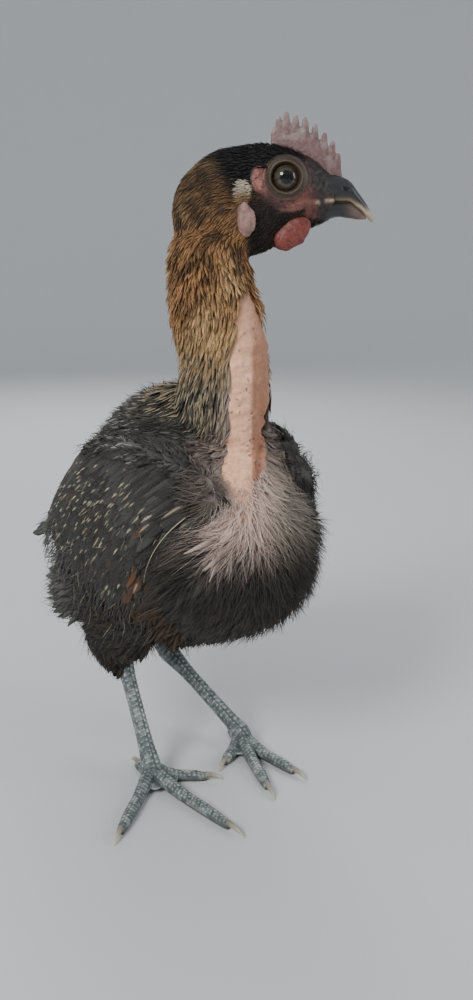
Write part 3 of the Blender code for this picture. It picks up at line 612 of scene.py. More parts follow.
def face_mask(points):
    """1 on the bare skin of the face, 0 where feathers cover the head."""
    along, _, z = head_frame(points)
    eye = fade(oval(along, z, 47.5, 317, 15.5, 13.5), 0.86, 1)
    lores = smooth(along, 52, 56) * smooth(z, 300, 303)
    rear = fade(oval(along, z, 33.2, 318.6, 4, 6.8), 0.8, 1)
    bare = np.clip(np.maximum(np.maximum(eye, lores), rear), 0, 1)
    return bare * fade(z, 328.5, 331) * (along > 27)


def ear_mask(points):
    """1 on the pale tuft over the ear."""
    along, out, z = head_frame(points)
    return (oval(along, z, 26.8, 313.2, 3.7, 5.6) < 1) * (np.abs(out) > 6) * 1.0


def flesh_mask(points):
    """1 where comb, earlobe and ear tuft stand, so that no head feather grows there."""
    along, out, z = head_frame(points)
    comb = (np.abs(out) < 1.3) * (along > 39) * (z > 325)
    lobe = (oval(along, z, 27.1, 301, 3.6, 6.6) < 1) * (np.abs(out) > 6)
    return np.maximum(np.maximum(comb, lobe), ear_mask(points))


def overlap(points):
    """1 just in front of the folded wing, where breast feathers lie over its edge."""
    x, y, z = points.T
    edge = np.interp(z, (99, 171), (-16, -57))
    near = bell(y - edge, -6, 8) * smooth(z, 88, 98) * fade(z, 154, 164)
    return near * np.where(x > 0, 0.4, 1.0) * (np.abs(x) > 18)


def inside_patch(points):
    """1 on the flanks under the folded wings."""
    x, y, z = points.T
    inside = np.zeros(len(points), bool)
    for (y0, z0), (y1, z1) in zip(WING_PATCH[-1:] + WING_PATCH[:-1], WING_PATCH):
        inside ^= ((z0 > z) != (z1 > z)) & (y < (y1 - y0) * (z - z0) / (z1 - z0) + y0)
    return inside & (np.abs(x) > np.clip(flank(y, z), 12, 60) * 0.84) & (y < 56)


def flow(points, normals):
    """The lie of the coat: the direction in which feathers point, along the skin."""
    x, y, _ = points.T
    along, _, z = head_frame(points)
    head = smooth(z, 284, 298) * smooth(along, -14, -6)
    neck = smooth(z, 196, 216) * (1 - head) * fade(np.hypot(x + 3, y + 24), 36, 44)
    on_head = -HEAD_FORWARD + stack(0, 0, -0.25 - 0.9 * smooth(20 - along, 0, 25) - 0.5 * (z < 305))
    fan = np.clip(x / 26, -1.4, 1.4) * smooth(-y, 30, 50)
    fall, low = smooth(-y, 15, 55), fade(z, 84, 110)
    body = stack(0.5 * fan, 1.0 - 0.55 * fall, -0.45 - 0.7 * fall + 0.35 * low)
    arm = smooth(np.abs(x), 24, 31) * smooth(z, 150, 162) * (1 - head - neck)
    for way, share in (((0, 0.45, -1), fade(z, 66, 86)), ((0, 1, -0.45), arm),
                       ((0, 1, -0.35), overlap(points))):
        body = mix(body, np.array(way), share)
    on_neck = np.array([0, 0.12, -1])
    total = on_head * head[:, None] + on_neck * neck[:, None] + body * (1 - head - neck)[:, None]
    return unit(total - normals * dot(total, normals))


def scatter(ground, spacing, inside):
    """Even random places on a mesh.

    spacing is a distance in mm, and inside keeps a place where it is above a random number.
    """
    a, b, c = (ground.points[ground.triangles[:, corner]] for corner in range(3))
    area = np.linalg.norm(np.cross(b - a, c - a), axis=1) / 2
    weight = area * np.clip(inside((a + b + c) / 3), 0, 1)
    count = int(TRIES * weight.sum() / spacing**2)
    pick = np.searchsorted(np.cumsum(weight), rng.random(count) * weight.sum())
    pick = np.minimum(pick, len(area) - 1)
    r1, r2 = np.sqrt(rng.random(count))[:, None], rng.random(count)[:, None]
    places = a[pick] * (1 - r1) + b[pick] * (r1 * (1 - r2)) + c[pick] * (r1 * r2)
    limit, taken, kept = (0.82 * spacing) ** 2, {}, []
    beside = [(i, j, k) for i in (-1, 0, 1) for j in (-1, 0, 1) for k in (-1, 0, 1)]
    cells = np.floor(places / spacing).astype(int)
    for index, ((x, y, z), (i, j, k)) in enumerate(zip(places.tolist(), cells.tolist())):
        near = (spot for di, dj, dk in beside for spot in taken.get((i + di, j + dj, k + dk), ()))
        if not any((px - x) ** 2 + (py - y) ** 2 + (pz - z) ** 2 < limit for px, py, pz in near):
            taken.setdefault((i, j, k), []).append((x, y, z))
            kept.append(index)
    return places[kept]


class Ground:
    """A surface that feathers lie on."""

    def __init__(self, points, triangles):
        self.points, self.triangles = points, triangles
        self.normals = mesh_normals(points, triangles)
        self.tree = BVHTree.FromPolygons(points.tolist(), triangles.tolist())

    def nearest(self, places):
        """Closest places on the surface, and the smooth normals there."""
        found, normals = np.zeros_like(places), np.zeros_like(places)
        for index, place in enumerate(places.tolist()):
            found[index], _, face, _ = self.tree.find_nearest(place)
            normals[index] = self.normals[self.triangles[face]].mean(axis=0)
        return found, unit(normals)


# Cross sections of a feather: across in half widths, and up in thicknesses.
THIN = np.array([(-1, 0), (0, 0.5), (1, 0), (0, -0.5)])
SHAFT = np.array([(-1, 0), (-0.24, 0.5), (0, 0.8), (0.24, 0.5), (1, 0), (0, -0.5)])
STRAND = np.array([(-1.0, 0), (0, 1), (1, 0)])
BROAD = np.array([(-1, 0), (-0.66, 0.5), (-0.33, 0.6), (0, 1.2), (0.33, 0.6), (0.66, 0.5), (1, 0),
                  (0.66, -0.5), (0, -0.9), (-0.66, -0.5)])


def blades(name, centres, normals, halves, tints, patches, shaft=None, material=VANES,
           slot="feathers", section=BROAD, thick=0.5, camber=0.12, roll=0.0, replaces=()):
    """Feathers as closed blades, in as many pieces as they need.

    centres and normals hold each feather's spine, halves its half width along it, tints its
    colour along it, patches its root on the unwrap, and shaft the colour of its middle line.
    """
    count, steps = centres.shape[:2]
    each = 2 * (steps - 1) * len(section) + 2 * (len(section) - 2)
    parts = max(1, math.ceil(count * each / PIECE_LIMIT))
    tangents = unit(np.gradient(centres, axis=1))
    normals = unit(normals - tangents * dot(normals, tangents))
    sides = np.cross(tangents, normals)
    roll = (np.asarray(roll) * np.ones(count))[:, None, None]
    cosine, sine = np.cos(roll), np.sin(roll)
    sides, normals = sides * cosine + normals * sine, normals * cosine - sides * sine
    x, rise = section.T
    half = halves[..., None, None]
    taper = np.clip(halves / np.maximum(halves.max(axis=1, keepdims=True), 1e-6), 0.25, 1)
    lift = rise[:, None] * thick * taper[..., None, None] - camber * (x**2)[:, None] * half
    points = (centres[:, :, None] + sides[:, :, None] * x[:, None] * half
              + normals[:, :, None] * lift)
    share = evenly(steps)[None, :, None]
    # The undersides of the feathers are painted darker, as painted shade.
    tint = tints[:, :, None, :] * np.where(rise < 0, 0.72, 1.0)[:, None]
    if shaft is not None:
        tint[:, :, (np.abs(x) < 0.1) & (rise > 0)] = shaft[:, :, None]
    patch = patches[:, None, None, :] + PATCH * stack(x * 0.5, share)
    lengths = np.linalg.norm(np.diff(centres, axis=1), axis=2).sum(axis=1)
    blade = stack(x * half[..., 0], share * lengths[:, None, None], 0.0)
    for part, chosen in enumerate(np.array_split(np.arange(count), parts)):
        index = np.arange(len(chosen) * steps * len(section)).reshape(-1, steps, len(section))
        faces = [ring_quads(index), index[:, 0, ::-1], index[:, -1]]
        title = name if parts == 1 else "%s_%d" % (name, part + 1)
        make_piece(title, points[chosen].reshape(-1, 3), faces, material, slot,
                   np.clip(tint[chosen].reshape(-1, 3), 0, 1), replaces if part == 0 else (),
                   blade[chosen].reshape(-1, 3), patch[chosen].reshape(-1, 2))


def joined(rows):
    """Arrays of several rows of feathers, joined one by one."""
    return [np.concatenate(column) for column in zip(*rows)]


def lay(ground, roots, lengths, steps, lift, wander):
    """Spines of feathers that follow the skin and rise from inside it to lift at their tips."""
    count, sunk = len(roots), -0.4
    places, normals = ground.nearest(roots)
    swing = rng.normal(0, 1, count) * wander + 0.6 * (hash_noise(roots, 9, 81) - 0.5)
    swing = swing[:, None]
    centres, ups = np.zeros((count, steps, 3)), np.zeros((count, steps, 3))
    for step in range(steps):
        height = sunk + (lift - sunk) * (step / (steps - 1))
        centres[:, step] = places + normals * height[:, None]
        ups[:, step] = normals
        if step < steps - 1:
            heading = flow(places, normals)
            heading = heading * np.cos(swing) + np.cross(heading, normals) * np.sin(swing)
            places, normals = ground.nearest(places + heading * (lengths / (steps - 1))[:, None])
    return centres, ups


def unwrap(points, kind):
    """Places on the unwrap of a form's own shape."""
    x, y, z = points.T
    if kind == "head":
        along, out, z = head_frame(points)
        turn, run = np.arctan2(out, z - 309) / (2 * np.pi), (along + 12) / 84
    elif kind == "neck":
        turn, run = neck_angle(points) / 360, (z - 150) / 160
    else:
        turn, run = np.arctan2(x, z - 150) / (2 * np.pi), (y + 70) / 185
    return stack(0.5 + turn * 0.96, 0.02 + 0.94 * np.clip(run, 0, 1))


def build_skin():
    """The skin of torso, neck, head, thighs and wings as one surface."""
    solids = [long_rings(TORSO, np.zeros(3), -FORWARD, LEFT, 64, 70, TORSO_POWER, DEPTH["torso"]),
              path_rings(NECK, 48, 50, inset=DEPTH["neck"]),
              long_rings(HEAD, HEAD_BASE, HEAD_FORWARD, HEAD_SIDE, 64, 60, 2.1, DEPTH["head"])]
    for label in SIDES:
        solids.append(path_rings(THIGH[label], 36, 30, inset=DEPTH["thigh"]))
        solids.append(arm_rings(label, ARM_DEPTH[label]))
    for side in SIDES.values():
        socket = head_point(EYE_ALONG - 2, side * 8.6, EYE_HEIGHT - 3)
        solids.append(ball_rings(socket, (12, 12.5, 4.2), HEAD_AXES))
    solids.append(path_rings(TAIL_STUB, 24, 16))
    solids += [ball_rings((side * x, y, z), radii, (LEFT, -FORWARD, UP))
               for side in SIDES.values() for (x, y, z), radii in SWELLS]
    points, triangles = fused(
        solids, SKIN_VOXEL, lambda p: smooth(p[:, 2], 278, 284) + bare_mask(p))
    points = relax(points, triangles, 5)
    z = points[:, 2]
    weight = softened(bare_mask(points), triangles) * smooth(z, 168, 182) * fade(z, 222, 234)
    points = relax(points, triangles, 60, 0.6 * weight[:, None])
    along, _, z = head_frame(points)
    behind = np.maximum(14 - along, 0) * smooth(z, 286, 300)
    points = points + HEAD_FORWARD * (0.12 * behind)[:, None]
    normals = mesh_normals(points, triangles)
    bare, face = bare_mask(points), face_mask(points)
    nape = band(z, 232, 256, 290, 302) * fade(along, 6, 20)
    out = softened(bare, triangles) * 3.3 + face * 0.5 + 2.6 * nape * (1 - bare)
    out = out + bare * pimples(points) + face * 0.9 * (hash_noise(points, 1.7, 9) - 0.5)
    fold = points @ ACROSS - 33 - 0.03 * (z - 190) + 1.5 * (hash_noise(points, 12, 7) - 0.5)
    crease = bell(fold, 0, 1.7) * bare * fade(z, 215, 240)
    points = points + normals * (out - 2.2 * crease)[:, None]
    along, out, z = head_frame(points)
    reach = np.hypot(along - EYE_ALONG, z - EYE_HEIGHT)
    limit = 8.6 + 4.6 * smooth(reach, 9.5, 13)
    excess = np.where(reach < 13, np.maximum(np.abs(out) - limit, 0), 0)
    recessed = points - HEAD_SIDE * (np.sign(out) * excess)[:, None]
    make_piece("skin", recessed, [triangles], SKIN, "face_skin", skin_tint(points),
               ("torso", "neck", "head", "thigh_right", "thigh_left"))
    return Ground(points, triangles)


def pimples(points):
    """Relief of the bare skin: rows of small bumps round feather roots, and soft wrinkles."""
    bumps = np.maximum(hash_noise(points, 2.1, 71) - 0.55, 0) * 3.2
    wrinkles = np.sin(points[:, 2] * 0.9 + 7.0 * hash_noise(points, 10, 5))
    return bumps + 0.22 * wrinkles + 1.3 * (hash_noise(points, 6, 8) - 0.5)


def skin_tint(points):
    """Colour of the skin, which carries the coat's markings where feathers cover it, darkened there
    as painted shade.
    """
    along, _, z = head_frame(points)
    spots, grain = hash_noise(points, 3, 11), hash_noise(points, 1.4, 13)
    shade = smooth(points @ ACROSS, 28.8, 31.6) * (1 - smooth(z, 236, 256) * 0.5)
    skin = mix(BARE, BARE_SHADE * 0.9, np.clip(spots * 0.4 + 0.95 * shade, 0, 1))
    skin = mix(skin, BARE_SHADE, smooth(z, 232, 262) * 0.6)
    skin = mix(skin, UMBER * 1.2, smooth(hash_noise(points, 1.5, 12), 0.84, 0.92) * 0.85)
    # Under the feathers the skin takes the coat's colour darkened to 0.6, painted shade between the
    # feathers.
    tint = mix(feather_tint(points) * 0.6, skin, bare_mask(points))
    red = mix(FACE_DARK, FACE_RED, smooth(spots, 0.3, 0.7))
    stroke = smooth(hash_noise(stack(along, 0.3 * z, 0), 0.9, 14), 0.35, 0.65)
    front = smooth(along + 0.5 * (z - 318), 53, 59) * smooth(z, 312, 318)
    corner = bell(along, 60.2, 1.1) * bell(z, 309, 0.8)
    edge = bell(z, 309.9, 0.7) * smooth(along, 62.8, 64.5)
    for colour, share in (
            (mix(PATCH_DARK, PATCH_PALE, stroke),
             1.4 * bell(along, 33.4, 3.8) * bell(z, 318.8, 6.5)),
            (FACE, 0.6 * bell(z, 308.5, 4.5) * smooth(along, 42, 50)),
            (FACE_FRONT, np.clip(front + smooth(z, 325.5, 329), 0, 1) * 0.9),
            (BLUSH, 0.5 * bell(z + 0.25 * np.maximum(55 - along, 0), 309.3, 0.9)
             * smooth(along, 44, 50)),
            (FACE_GAPE, smooth(along + 0.12 * (z - 310), 56, 62) * 0.95),
            (HORN_PALE * 1.1, corner * 0.8 + edge * 0.85),
            (BLUSH, 0.55 * bell(z - 0.12 * (along - 46), 305.6, 0.8) * band(along, 38, 42, 52, 55)),
            (FACE_BEHIND, fade(along, 38, 45) * fade(z, 310, 315) * 0.8)):
        red = mix(red, colour, np.clip(share, 0, 1))
    red = mix(red, red * 0.55, smooth(grain, 0.62, 0.8) * 0.7)
    return mix(tint, red, np.where((z > 284) & (along > 24), face_mask(points), 0))


def feather_tint(points):
    """Main colour of the coat at a place on the body."""
    x, y, _ = points.T
    along, _, z = head_frame(points)
    across = points @ ACROSS
    grain, blotch = hash_noise(points, 4, 1), hash_noise(points, 16, 2)
    neck = smooth(z - 0.25 * np.maximum(-y - 30, 0), 228, 243)
    back = smooth(z, 190, 206) * band(y, -22, 0, 55, 85)
    gold = mix(GOLD, TAN, smooth(blotch + 0.55 * fade(z, 238, 272), 0.5, 1))
    gold = mix(gold, OLIVE, fade(z, 226, 248) * 0.6)
    gold = mix(gold, UMBER, (0.45 + 0.3 * smooth(z, 262, 290)) * smooth(grain, 0.4, 0.7))
    gold = mix(gold * (1.28 - 0.3 * smooth(z, 272, 296))[:, None], UMBER,
               0.72 * smooth(z, 290, 314))
    shoulder = smooth(z, 164, 182) * smooth(np.abs(x), 13, 24) * smooth(-y, -12, 10)
    beside = smooth(across, 1, 13) * band(z, 148, 166, 208, 226)
    beside = beside * smooth(-y, 20, 34) * fade(across, 36, 43)
    tint = mix(CHARCOAL * 1.15, UMBER, 0.5 * smooth(blotch, 0.4, 0.75))
    for colour, share in (
            (SMOKE, back * (0.25 + 0.5 * grain)),
            (mix(SLATE * 0.8, OLIVE * 0.8, grain), smooth(z, 200, 214) * smooth(-y, -20, 10)),
            (gold, neck),
            (SMOKE, 0.5 * shoulder * (1 - neck) * smooth(grain, 0.2, 0.6)),
            (DOWN_BESIDE, 0.7 * beside)):
        tint = mix(tint, colour, share)
    tint = tint * (1 + 0.7 * smooth(-y, 0, 20) * band(z, 86, 100, 150, 165))[:, None]
    front = smooth(-y, 36, 50) * smooth(z, 140, 164) * smooth(across, 3, 18)
    front = front * (1 - smooth(np.where(x > 0, x + 8, -x), 27, 35)
                     * smooth(z + 8 * (x > 0), 148, 166))
    pale = front * (1 - neck) * (0.7 + 0.3 * smooth(hash_noise(points, 9, 15), 0.35, 0.6))
    # Towards the bird's left the breast down is painted paler, as painted light on that side.
    down = mix(mix(DOWN_NEAR, DOWN, smooth(across, 8, 18)), DOWN_FAR_LIT, smooth(across, 33, 42))
    cheek = smooth(along, 27, 31) * fade(z, 308, 314) * smooth(z, 282, 286)
    rust = bell(y, -27, 8) * band(z, 90, 98, 150, 160) * (x < 0) * smooth(grain, 0.3, 0.6)
    rear = smooth(y, 40, 56) * fade(z, 116, 130)
    for colour, share in (
            (down, pale * (1 - 0.75 * overlap(points))),
            (DOWN * 1.2, bare_mask(points) * fade(z, 176, 190) * 0.9),
            (BLACK, smooth(along + 0.5 * (z - 322), 14, 22) * smooth(z, 309, 315)),
            (mix(BLACK * 1.8, UMBER, 0.3 + 0.5 * grain), cheek),
            (RUFOUS, rust * 0.4),
            (SMOKE * 1.15, rear * (0.35 + 0.6 * smooth(blotch, 0.35, 0.65))),
            (mix(CHARCOAL, UMBER, 0.4) * 1.1, fade(z, 84, 112) * 0.8 * (1 - rear))):
        tint = mix(tint, colour, share)
    return tint


def read(value, points):
    """A measure, which may change from place to place."""
    return value(points) if callable(value) else value


def coat(ground, name, kind, material, spacing, length, width, lift, inside, shape, gradient,
         wander, section=STRAND, thick=0.35, camber=0.18, noise=0.18, roll=0.1, slot="feathers",
         tip=None, tip_share=None, paint=feather_tint, shaft=None):
    """Feathers scattered over part of the skin, with shape and gradient from root to tip.

    Those with a shaft keep their tips off the bare skin.
    """
    roots = scatter(ground, spacing, inside)
    count, steps = len(roots), len(shape)

    def vary(spread, low, high):
        return np.clip(rng.normal(1, spread, count), low, high)

    lengths = vary(noise, 0.55, 1.5) * read(length, roots)
    halves = 0.5 * read(width, roots) * vary(noise, 0.6, 1.5)
    lifts = read(lift, roots) * vary(0.25, 0.3, 1.8)
    centres, ups = lay(ground, roots, lengths, steps, lifts, wander)
    uneven = np.clip(1 + 0.1 * rng.standard_normal((count, steps)), 0.6, 1.4)
    half = halves[:, None] * np.array(shape) * uneven
    base = paint(roots) * vary(0.16, 0.6, 1.5)[:, None]
    tints = base[:, None, :] * np.array(gradient)[:, None]
    if tip is not None:
        tints[rng.random(count) < tip_share(roots), -2:] = tip
    rows, rolls = [centres, ups, half, tints, unwrap(roots, kind)], rng.normal(0, roll, count)
    if shaft is not None:
        rows.append(tints * shaft(roots)[:, None, :])
        kept = np.maximum(bare_mask(centres[:, -1]), bare_mask(centres[:, -2])) < 0.4
        rows, rolls = [part[kept] for part in rows], rolls[kept]
    blades(name, *rows, material=material, slot=slot, section=section, thick=thick, camber=camber,
           roll=rolls)


def build_camera():
    """The camera at the photograph's view."""
    data = bpy.data.cameras.new("camera")
    data.sensor_fit, data.lens = "VERTICAL", LENS
    data.sensor_height = data.sensor_width = SENSOR
    data.clip_start, data.clip_end = CLIP
    camera = new_object("camera", data)
    camera.location = (CAMERA_PLACE - ORIGIN) * MM
    camera.rotation_euler = (CAMERA_TILT, 0, CAMERA_HEADING)
    bpy.context.scene.camera = camera


def build_stage():
    """Pale floor that rises to a round wall, and soft light from both sides and above."""
    bend = [(FLOOR_FLAT + FLOOR_BEND * math.sin(turn), FLOOR_BEND - FLOOR_BEND * math.cos(turn))
            for turn in np.linspace(0, np.pi / 2, 10)]
    profile = np.array([(0.01, 0), (0.9, 0)] + bend + [(FLOOR_FLAT + FLOOR_BEND, FLOOR_TOP)])
    angle, radius, height = circle(FLOOR_SIDES), profile[:, :1], profile[:, 1:]
    rings = stack(radius * np.cos(angle), radius * np.sin(angle), height)
    index = np.arange(len(profile) * FLOOR_SIDES).reshape(-1, FLOOR_SIDES)
    mesh = new_mesh("floor", rings.reshape(-1, 3), [ring_quads(index)[:, [0, 3, 2, 1]], index[:1]])
    material = bpy.data.materials.new("floor")
    material.use_nodes = True
    wire(material.node_tree, material.node_tree.nodes["Principled BSDF"],
         {"Base Color": FLOOR_COLOUR, "Roughness": 0.8})
    mesh.materials.append(material)
    new_object("floor", mesh)
    world = bpy.data.worlds.new("studio")
    world.use_nodes = True
    wire(world.node_tree, world.node_tree.nodes["Background"],
         {"Color": SKY_COLOUR, "Strength": SKY_STRENGTH})
    bpy.context.scene.world = world
    for name, (place, size, power, colour) in LIGHTS.items():
        data = bpy.data.lights.new(name, "AREA")
        data.shape, data.size, data.energy, data.color = "DISK", size, power, colour
        light = new_object(name, data)
        light.location = place
        x, y, z = LIGHT_TARGET - place
        light.rotation_euler = (math.atan2(math.hypot(x, y), -z), 0, math.atan2(-x, y))


def toe_heading(angle):
    """A level direction, turned from the bird's forward towards its left."""
    turn = math.radians(angle)
    return np.array([math.sin(turn), -math.cos(turn), 0])


def toe_path(foot, name, sections, start, span, wide, deep):
    """Sections along a toe from its start over its span, wide and deep in half widths."""
    place = np.array([*foot["joint"][:2], 0])
    heading = toe_heading(foot["toes"][name][0])
    rows = []
    for share, half, height in sections:
        x, y, _ = place + heading * (start + span * share)
        rows.append((x, y, height, half * wide, half * deep))
    return rows


def plated(rows, hint, sides, steps, plates_at, pitch, wide, rise):
    """Rings of a scaly limb: broad plates on the side plates_at faces, small scales round it."""
    rings = path_rings(rows, sides, steps, hint)
    middle = rings.mean(axis=1, keepdims=True)
    outward = unit(rings - middle)
    run = np.concatenate([[0], np.cumsum(np.linalg.norm(np.diff(middle[:, 0], axis=0), axis=1))])
    run = run[:, None]
    tangent = unit(np.gradient(middle[:, 0], axis=0))
    face = unit(plates_at - tangent * (tangent @ plates_at)[:, None])
    other = np.cross(tangent, face)
    angle = np.degrees(np.arctan2(np.sum(outward * other[:, None], axis=2),
                                  np.sum(outward * face[:, None], axis=2)))
    column = np.where(angle > 4, 0.5, 0.0)
    place = run / pitch + 0.12 * np.cos(np.radians(angle * 2)) + column
    phase = place - np.floor(place)
    plate = np.minimum(1, 5.0 * (1 - phase)) * (0.35 + 0.65 * phase**0.6)
    plate *= fade(np.abs(angle), wide - 10, wide)
    plate *= 0.25 + 0.75 * smooth(np.abs(angle - 4), 2, 9)
    row = angle / 26
    beads = run / (pitch * 0.8) + 0.5 * (np.floor(row) % 2)
    bead = np.sin(np.pi * (beads % 1)) ** 0.5 * np.sin(np.pi * (row % 1)) ** 0.5
    bead *= smooth(np.abs(angle), wide - 4, wide + 6)
    return rings + outward * (rise * (plate + 0.6 * bead) - 0.2)[..., None]


def build_legs():
    """Scaly shanks and toes, and the claws."""
    for label, foot in FEET.items():
        joint, hock, toes = np.array(foot["joint"]), np.array(foot["hock"]), foot["toes"]
        rows = [(*(hock + (joint - hock) * share), half, deep) for share, half, deep in SHANK_ROWS]
        solids = [plated(rows, LEFT, 96, 260, FORWARD, *SHANK_PLATES),
                  ball_rings((*joint[:2], 4.4), (5.4, 5.4, 4.4), (LEFT, FORWARD, UP))]
        across = {name: np.cross(UP, toe_heading(turn)) for name, (turn, _) in toes.items()}
        for name, (_, length) in toes.items():
            rows = toe_path(foot, name, TOE_ROWS, 2.0, length - CLAW_LENGTH[name] - 2.0, 1, 0.92)
            solids.append(plated(rows, across[name], 64, 200, UP, *TOE_PLATES))
        for first, second in (("outer", "middle"), ("middle", "inner")):
            heading = toe_heading((toes[first][0] + toes[second][0]) / 2)
            web = joint * np.array([1, 1, 0]) + heading * 9 + UP * 3.6
            solids.append(ball_rings(web, (5, 7.5, 1.5), (np.cross(UP, heading), heading, UP)))
        points, triangles = fused(solids, LEG_VOXEL)
        points = relax(points, triangles, 1, 0.4)
        points[:, 2] = np.maximum(points[:, 2], 0)
        z = points[:, 2]
        inward = neighbour_mean(points, triangles) - points
        hollow = dot(inward, mesh_normals(points, triangles))[:, 0]
        grain, fine = hash_noise(points, 2.2, 21) - 0.35, hash_noise(points, 0.8, 22) - 0.5
        # The raised edges of the plates are painted paler, as painted highlight, mixed with random
        # patches.
        edge = smooth(-hollow, 0.02, 0.10) * (0.3 + 0.7 * smooth(z, 3.2, 5.6))
        tint = mix(LEG * 0.7, LEG_HIGHLIGHT, np.clip(edge + 0.6 * grain + 0.3 * fine, 0, 1))
        # The grooves between the plates are painted darker, as painted shade.
        tint = mix(tint, LEG * 0.3, smooth(hollow, 0.015, 0.08) * 0.9)
        # The foot is painted darker towards the floor, as painted shade under it.
        tint = mix(tint, LEG_SOLE_SHADE, fade(z, 1.4, 3.2) * 0.8)
        nodes = ["shank_" + label] + ["toe_%s_%s" % (name, label) for name in toes]
        make_piece("leg_" + label, points, [triangles], SCALES, "leg_scales", tint, nodes)
        for name, (_, length) in toes.items():
            grown = CLAW_LENGTH[name]
            rows = toe_path(foot, name, CLAW_ROWS, length - grown - CLAW_SUNK, grown + CLAW_SUNK,
                            0.8, 1)
            vertices, faces = tube_mesh(path_rings(rows, 20, 26, across[name]))
            vertices[:, 2] = np.maximum(vertices[:, 2], 0)
            tint = mix(CLAW_ROOT, CLAW_TIP, np.repeat(evenly(27), 20))
            tint = tint * (0.85 + 0.3 * hash_noise(vertices, 1.2, 4))[:, None]
            make_piece("nail_%s_%s" % (name, label), vertices, faces, CLAW, "claw_horn", tint,
                       ("claw_%s_%s" % (name, label),))


def build_bill():
    """Upper and lower bill with nostrils and the pale cutting edge."""
    lower = [(along, top + 0.55, bottom, half * 0.96) for along, top, bottom, half in LOWER_BILL]
    middle, level, wide, high = NOSTRIL
    for part, rows, edge in (("upper", UPPER_BILL, 1.15), ("lower", lower, 0.5)):
        rings = long_rings(rows, HEAD_BASE, HEAD_FORWARD, HEAD_SIDE, 80, 120)
        vertices, faces = tube_mesh(rings)
        along, out, z = head_frame(vertices)
        nostril = np.hypot((along - middle) / wide, (z - level + 0.25 * (along - middle)) / high)
        if part == "upper":
            vertices -= HEAD_SIDE * (np.sign(out) * fade(nostril, 0.55, 1))[:, None]
        growth = np.sin(along * 2.3 + 0.8 * np.sin(z * 1.1)) * smooth(along, 64, 70)
        vertices += UP * (0.25 * (hash_noise(vertices, 3, 31) - 0.5) + 0.03 * growth)[:, None]
        line = 309.9 - 2.2 * smooth(along, 75, 80) - 5.0 * smooth(along, 79, 87)
        tint = mix(HORN, HORN * 1.5, hash_noise(vertices, 2.5, 33))
        tint = mix(tint, HORN_PALE * 1.1, 0.9 * bell(z, line, edge) * smooth(along, 62, 65))
        tint = mix(tint, HORN_PALE * 0.9, 0.85 * smooth(along - 0.55 * (z - 303), 80, 85))
        if part == "upper":
            # The nostril's opening is painted near black, as painted shade in its hollow.
            tint = mix(tint, BLACK * 0.6, fade(nostril, 0.5, 1.05))
        else:
            tint = mix(tint, HORN_WARM, 0.65 * smooth(along, 71, 80))
            # The top of the lower bill, under the upper one, is painted darker, as painted shade.
            tint = tint * np.where(z > 308.6, 0.4, 1.0)[:, None]
        make_piece("beak_" + part, vertices, faces, HORN_LOOK, "bill_horn", tint, ("bill_" + part,))


def rounded(solids, voxel, times):
    """A soft surface round several solids: its points, triangles and normals."""
    points, triangles = fused(solids, voxel)
    points = relax(points, triangles, times)
    return points, triangles, mesh_normals(points, triangles)


def build_comb():
    """Single comb with its blunt points."""
    angle, rings = circle(24), []
    for along, top in spline(COMB_TOP, evenly(60)):
        foot = top - COMB_DEEP
        height = (top + foot) / 2 + (top - foot) / 2 * np.sin(angle)
        thick = COMB_THICK - 0.55 * smooth(np.sin(angle), -0.2, 1)
        rings.append(head_point(along, thick * np.cos(angle), height))
    solids = [np.array(rings)]
    for along, top in COMB_TIPS:
        lean, path = (along - 55) * 0.05, []
        for share, half in POINT_ROWS:
            place = head_point(along - lean * (1 - share), 0, top - COMB_POINT * (1 - share))
            path.append((*place, half, min(half, 1.15)))
        solids.append(path_rings(path, 16, 24, HEAD_FORWARD))
    points, triangles, normals = rounded(solids, COMB_VOXEL, 2)
    beads = hash_noise(points, 1, 41) - 0.5
    points = points + normals * (0.28 * beads)[:, None]
    z = points[:, 2]
    pale = smooth(hash_noise(points, 3, 43), 0.5, 0.8) * 0.6 + 0.5 * smooth(z, 340, 347)
    # The dents between the beads are painted darker, as painted shade.
    tint = mix(COMB, COMB * 0.72, 0.9 * smooth(beads, 0.2, -0.25))
    tint = mix(tint, COMB_PALE, np.clip(pale, 0, 1))
    tint = mix(tint, MAROON * 1.6, fade(z, 324, 336) * 0.35)
    make_piece("comb_blade", points, [triangles], FLESH, "comb_skin", tint, ("comb",))


def build_lobes():
    """Wattles and earlobes."""
    cosine, sine = math.cos(WATTLE_TURN), math.sin(WATTLE_TURN)
    leaning = (HEAD_FORWARD * cosine + UP * sine, UP * cosine - HEAD_FORWARD * sine, HEAD_SIDE)
    axes_of_balls = (leaning, HEAD_AXES, HEAD_AXES)
    for label, side in SIDES.items():
        solids = [ball_rings(head_point(along, side * out, height), radii, axes)
                  for (along, out, height, radii), axes in zip(WATTLE_BALLS, axes_of_balls)]
        points, triangles, normals = rounded(solids, LOBE_VOXEL, 30)
        along, _, z = head_frame(points)
        beads, folds = hash_noise(points, 0.9, 51) - 0.5, np.sin((along + 0.7 * z) * 1.3)
        points = points + normals * (0.16 * beads + 0.10 * folds)[:, None]
        # The dents between the beads are painted darker, as painted shade.
        tint = mix(WATTLE, WATTLE * 0.6, smooth(beads, 0.15, -0.3))
        tint = mix(tint, WATTLE * 0.55, smooth(points[:, 2], 296, 303) * 0.7)
        make_piece("wattle_skin_" + label, points, [triangles], FLESH, "face_skin", tint,
                   ("wattle_" + label,))
        out = side * (table(HEAD, (3,), 27)[0] - 0.6)
        solids = [ball_rings(head_point(along, out, height), radii, HEAD_AXES)
                  for along, height, radii in LOBE_BALLS]
        points, triangles, normals = rounded(solids, LOBE_VOXEL, 4)
        folds = hash_noise(points * np.array([1, 1, 0.45]), 1.7, 55) - 0.5
        points = points + normals * (folds + 0.3 * (hash_noise(points, 0.8, 56) - 0.5))[:, None]
        # The hollows of the folds are painted darker, as painted shade.
        tint = mix(LOBE, LOBE * 0.72, smooth(folds, 0.1, -0.3))
        make_piece("earlobe_skin_" + label, points, [triangles], FLESH, "lobe_skin", tint,
                   ("earlobe_" + label,))


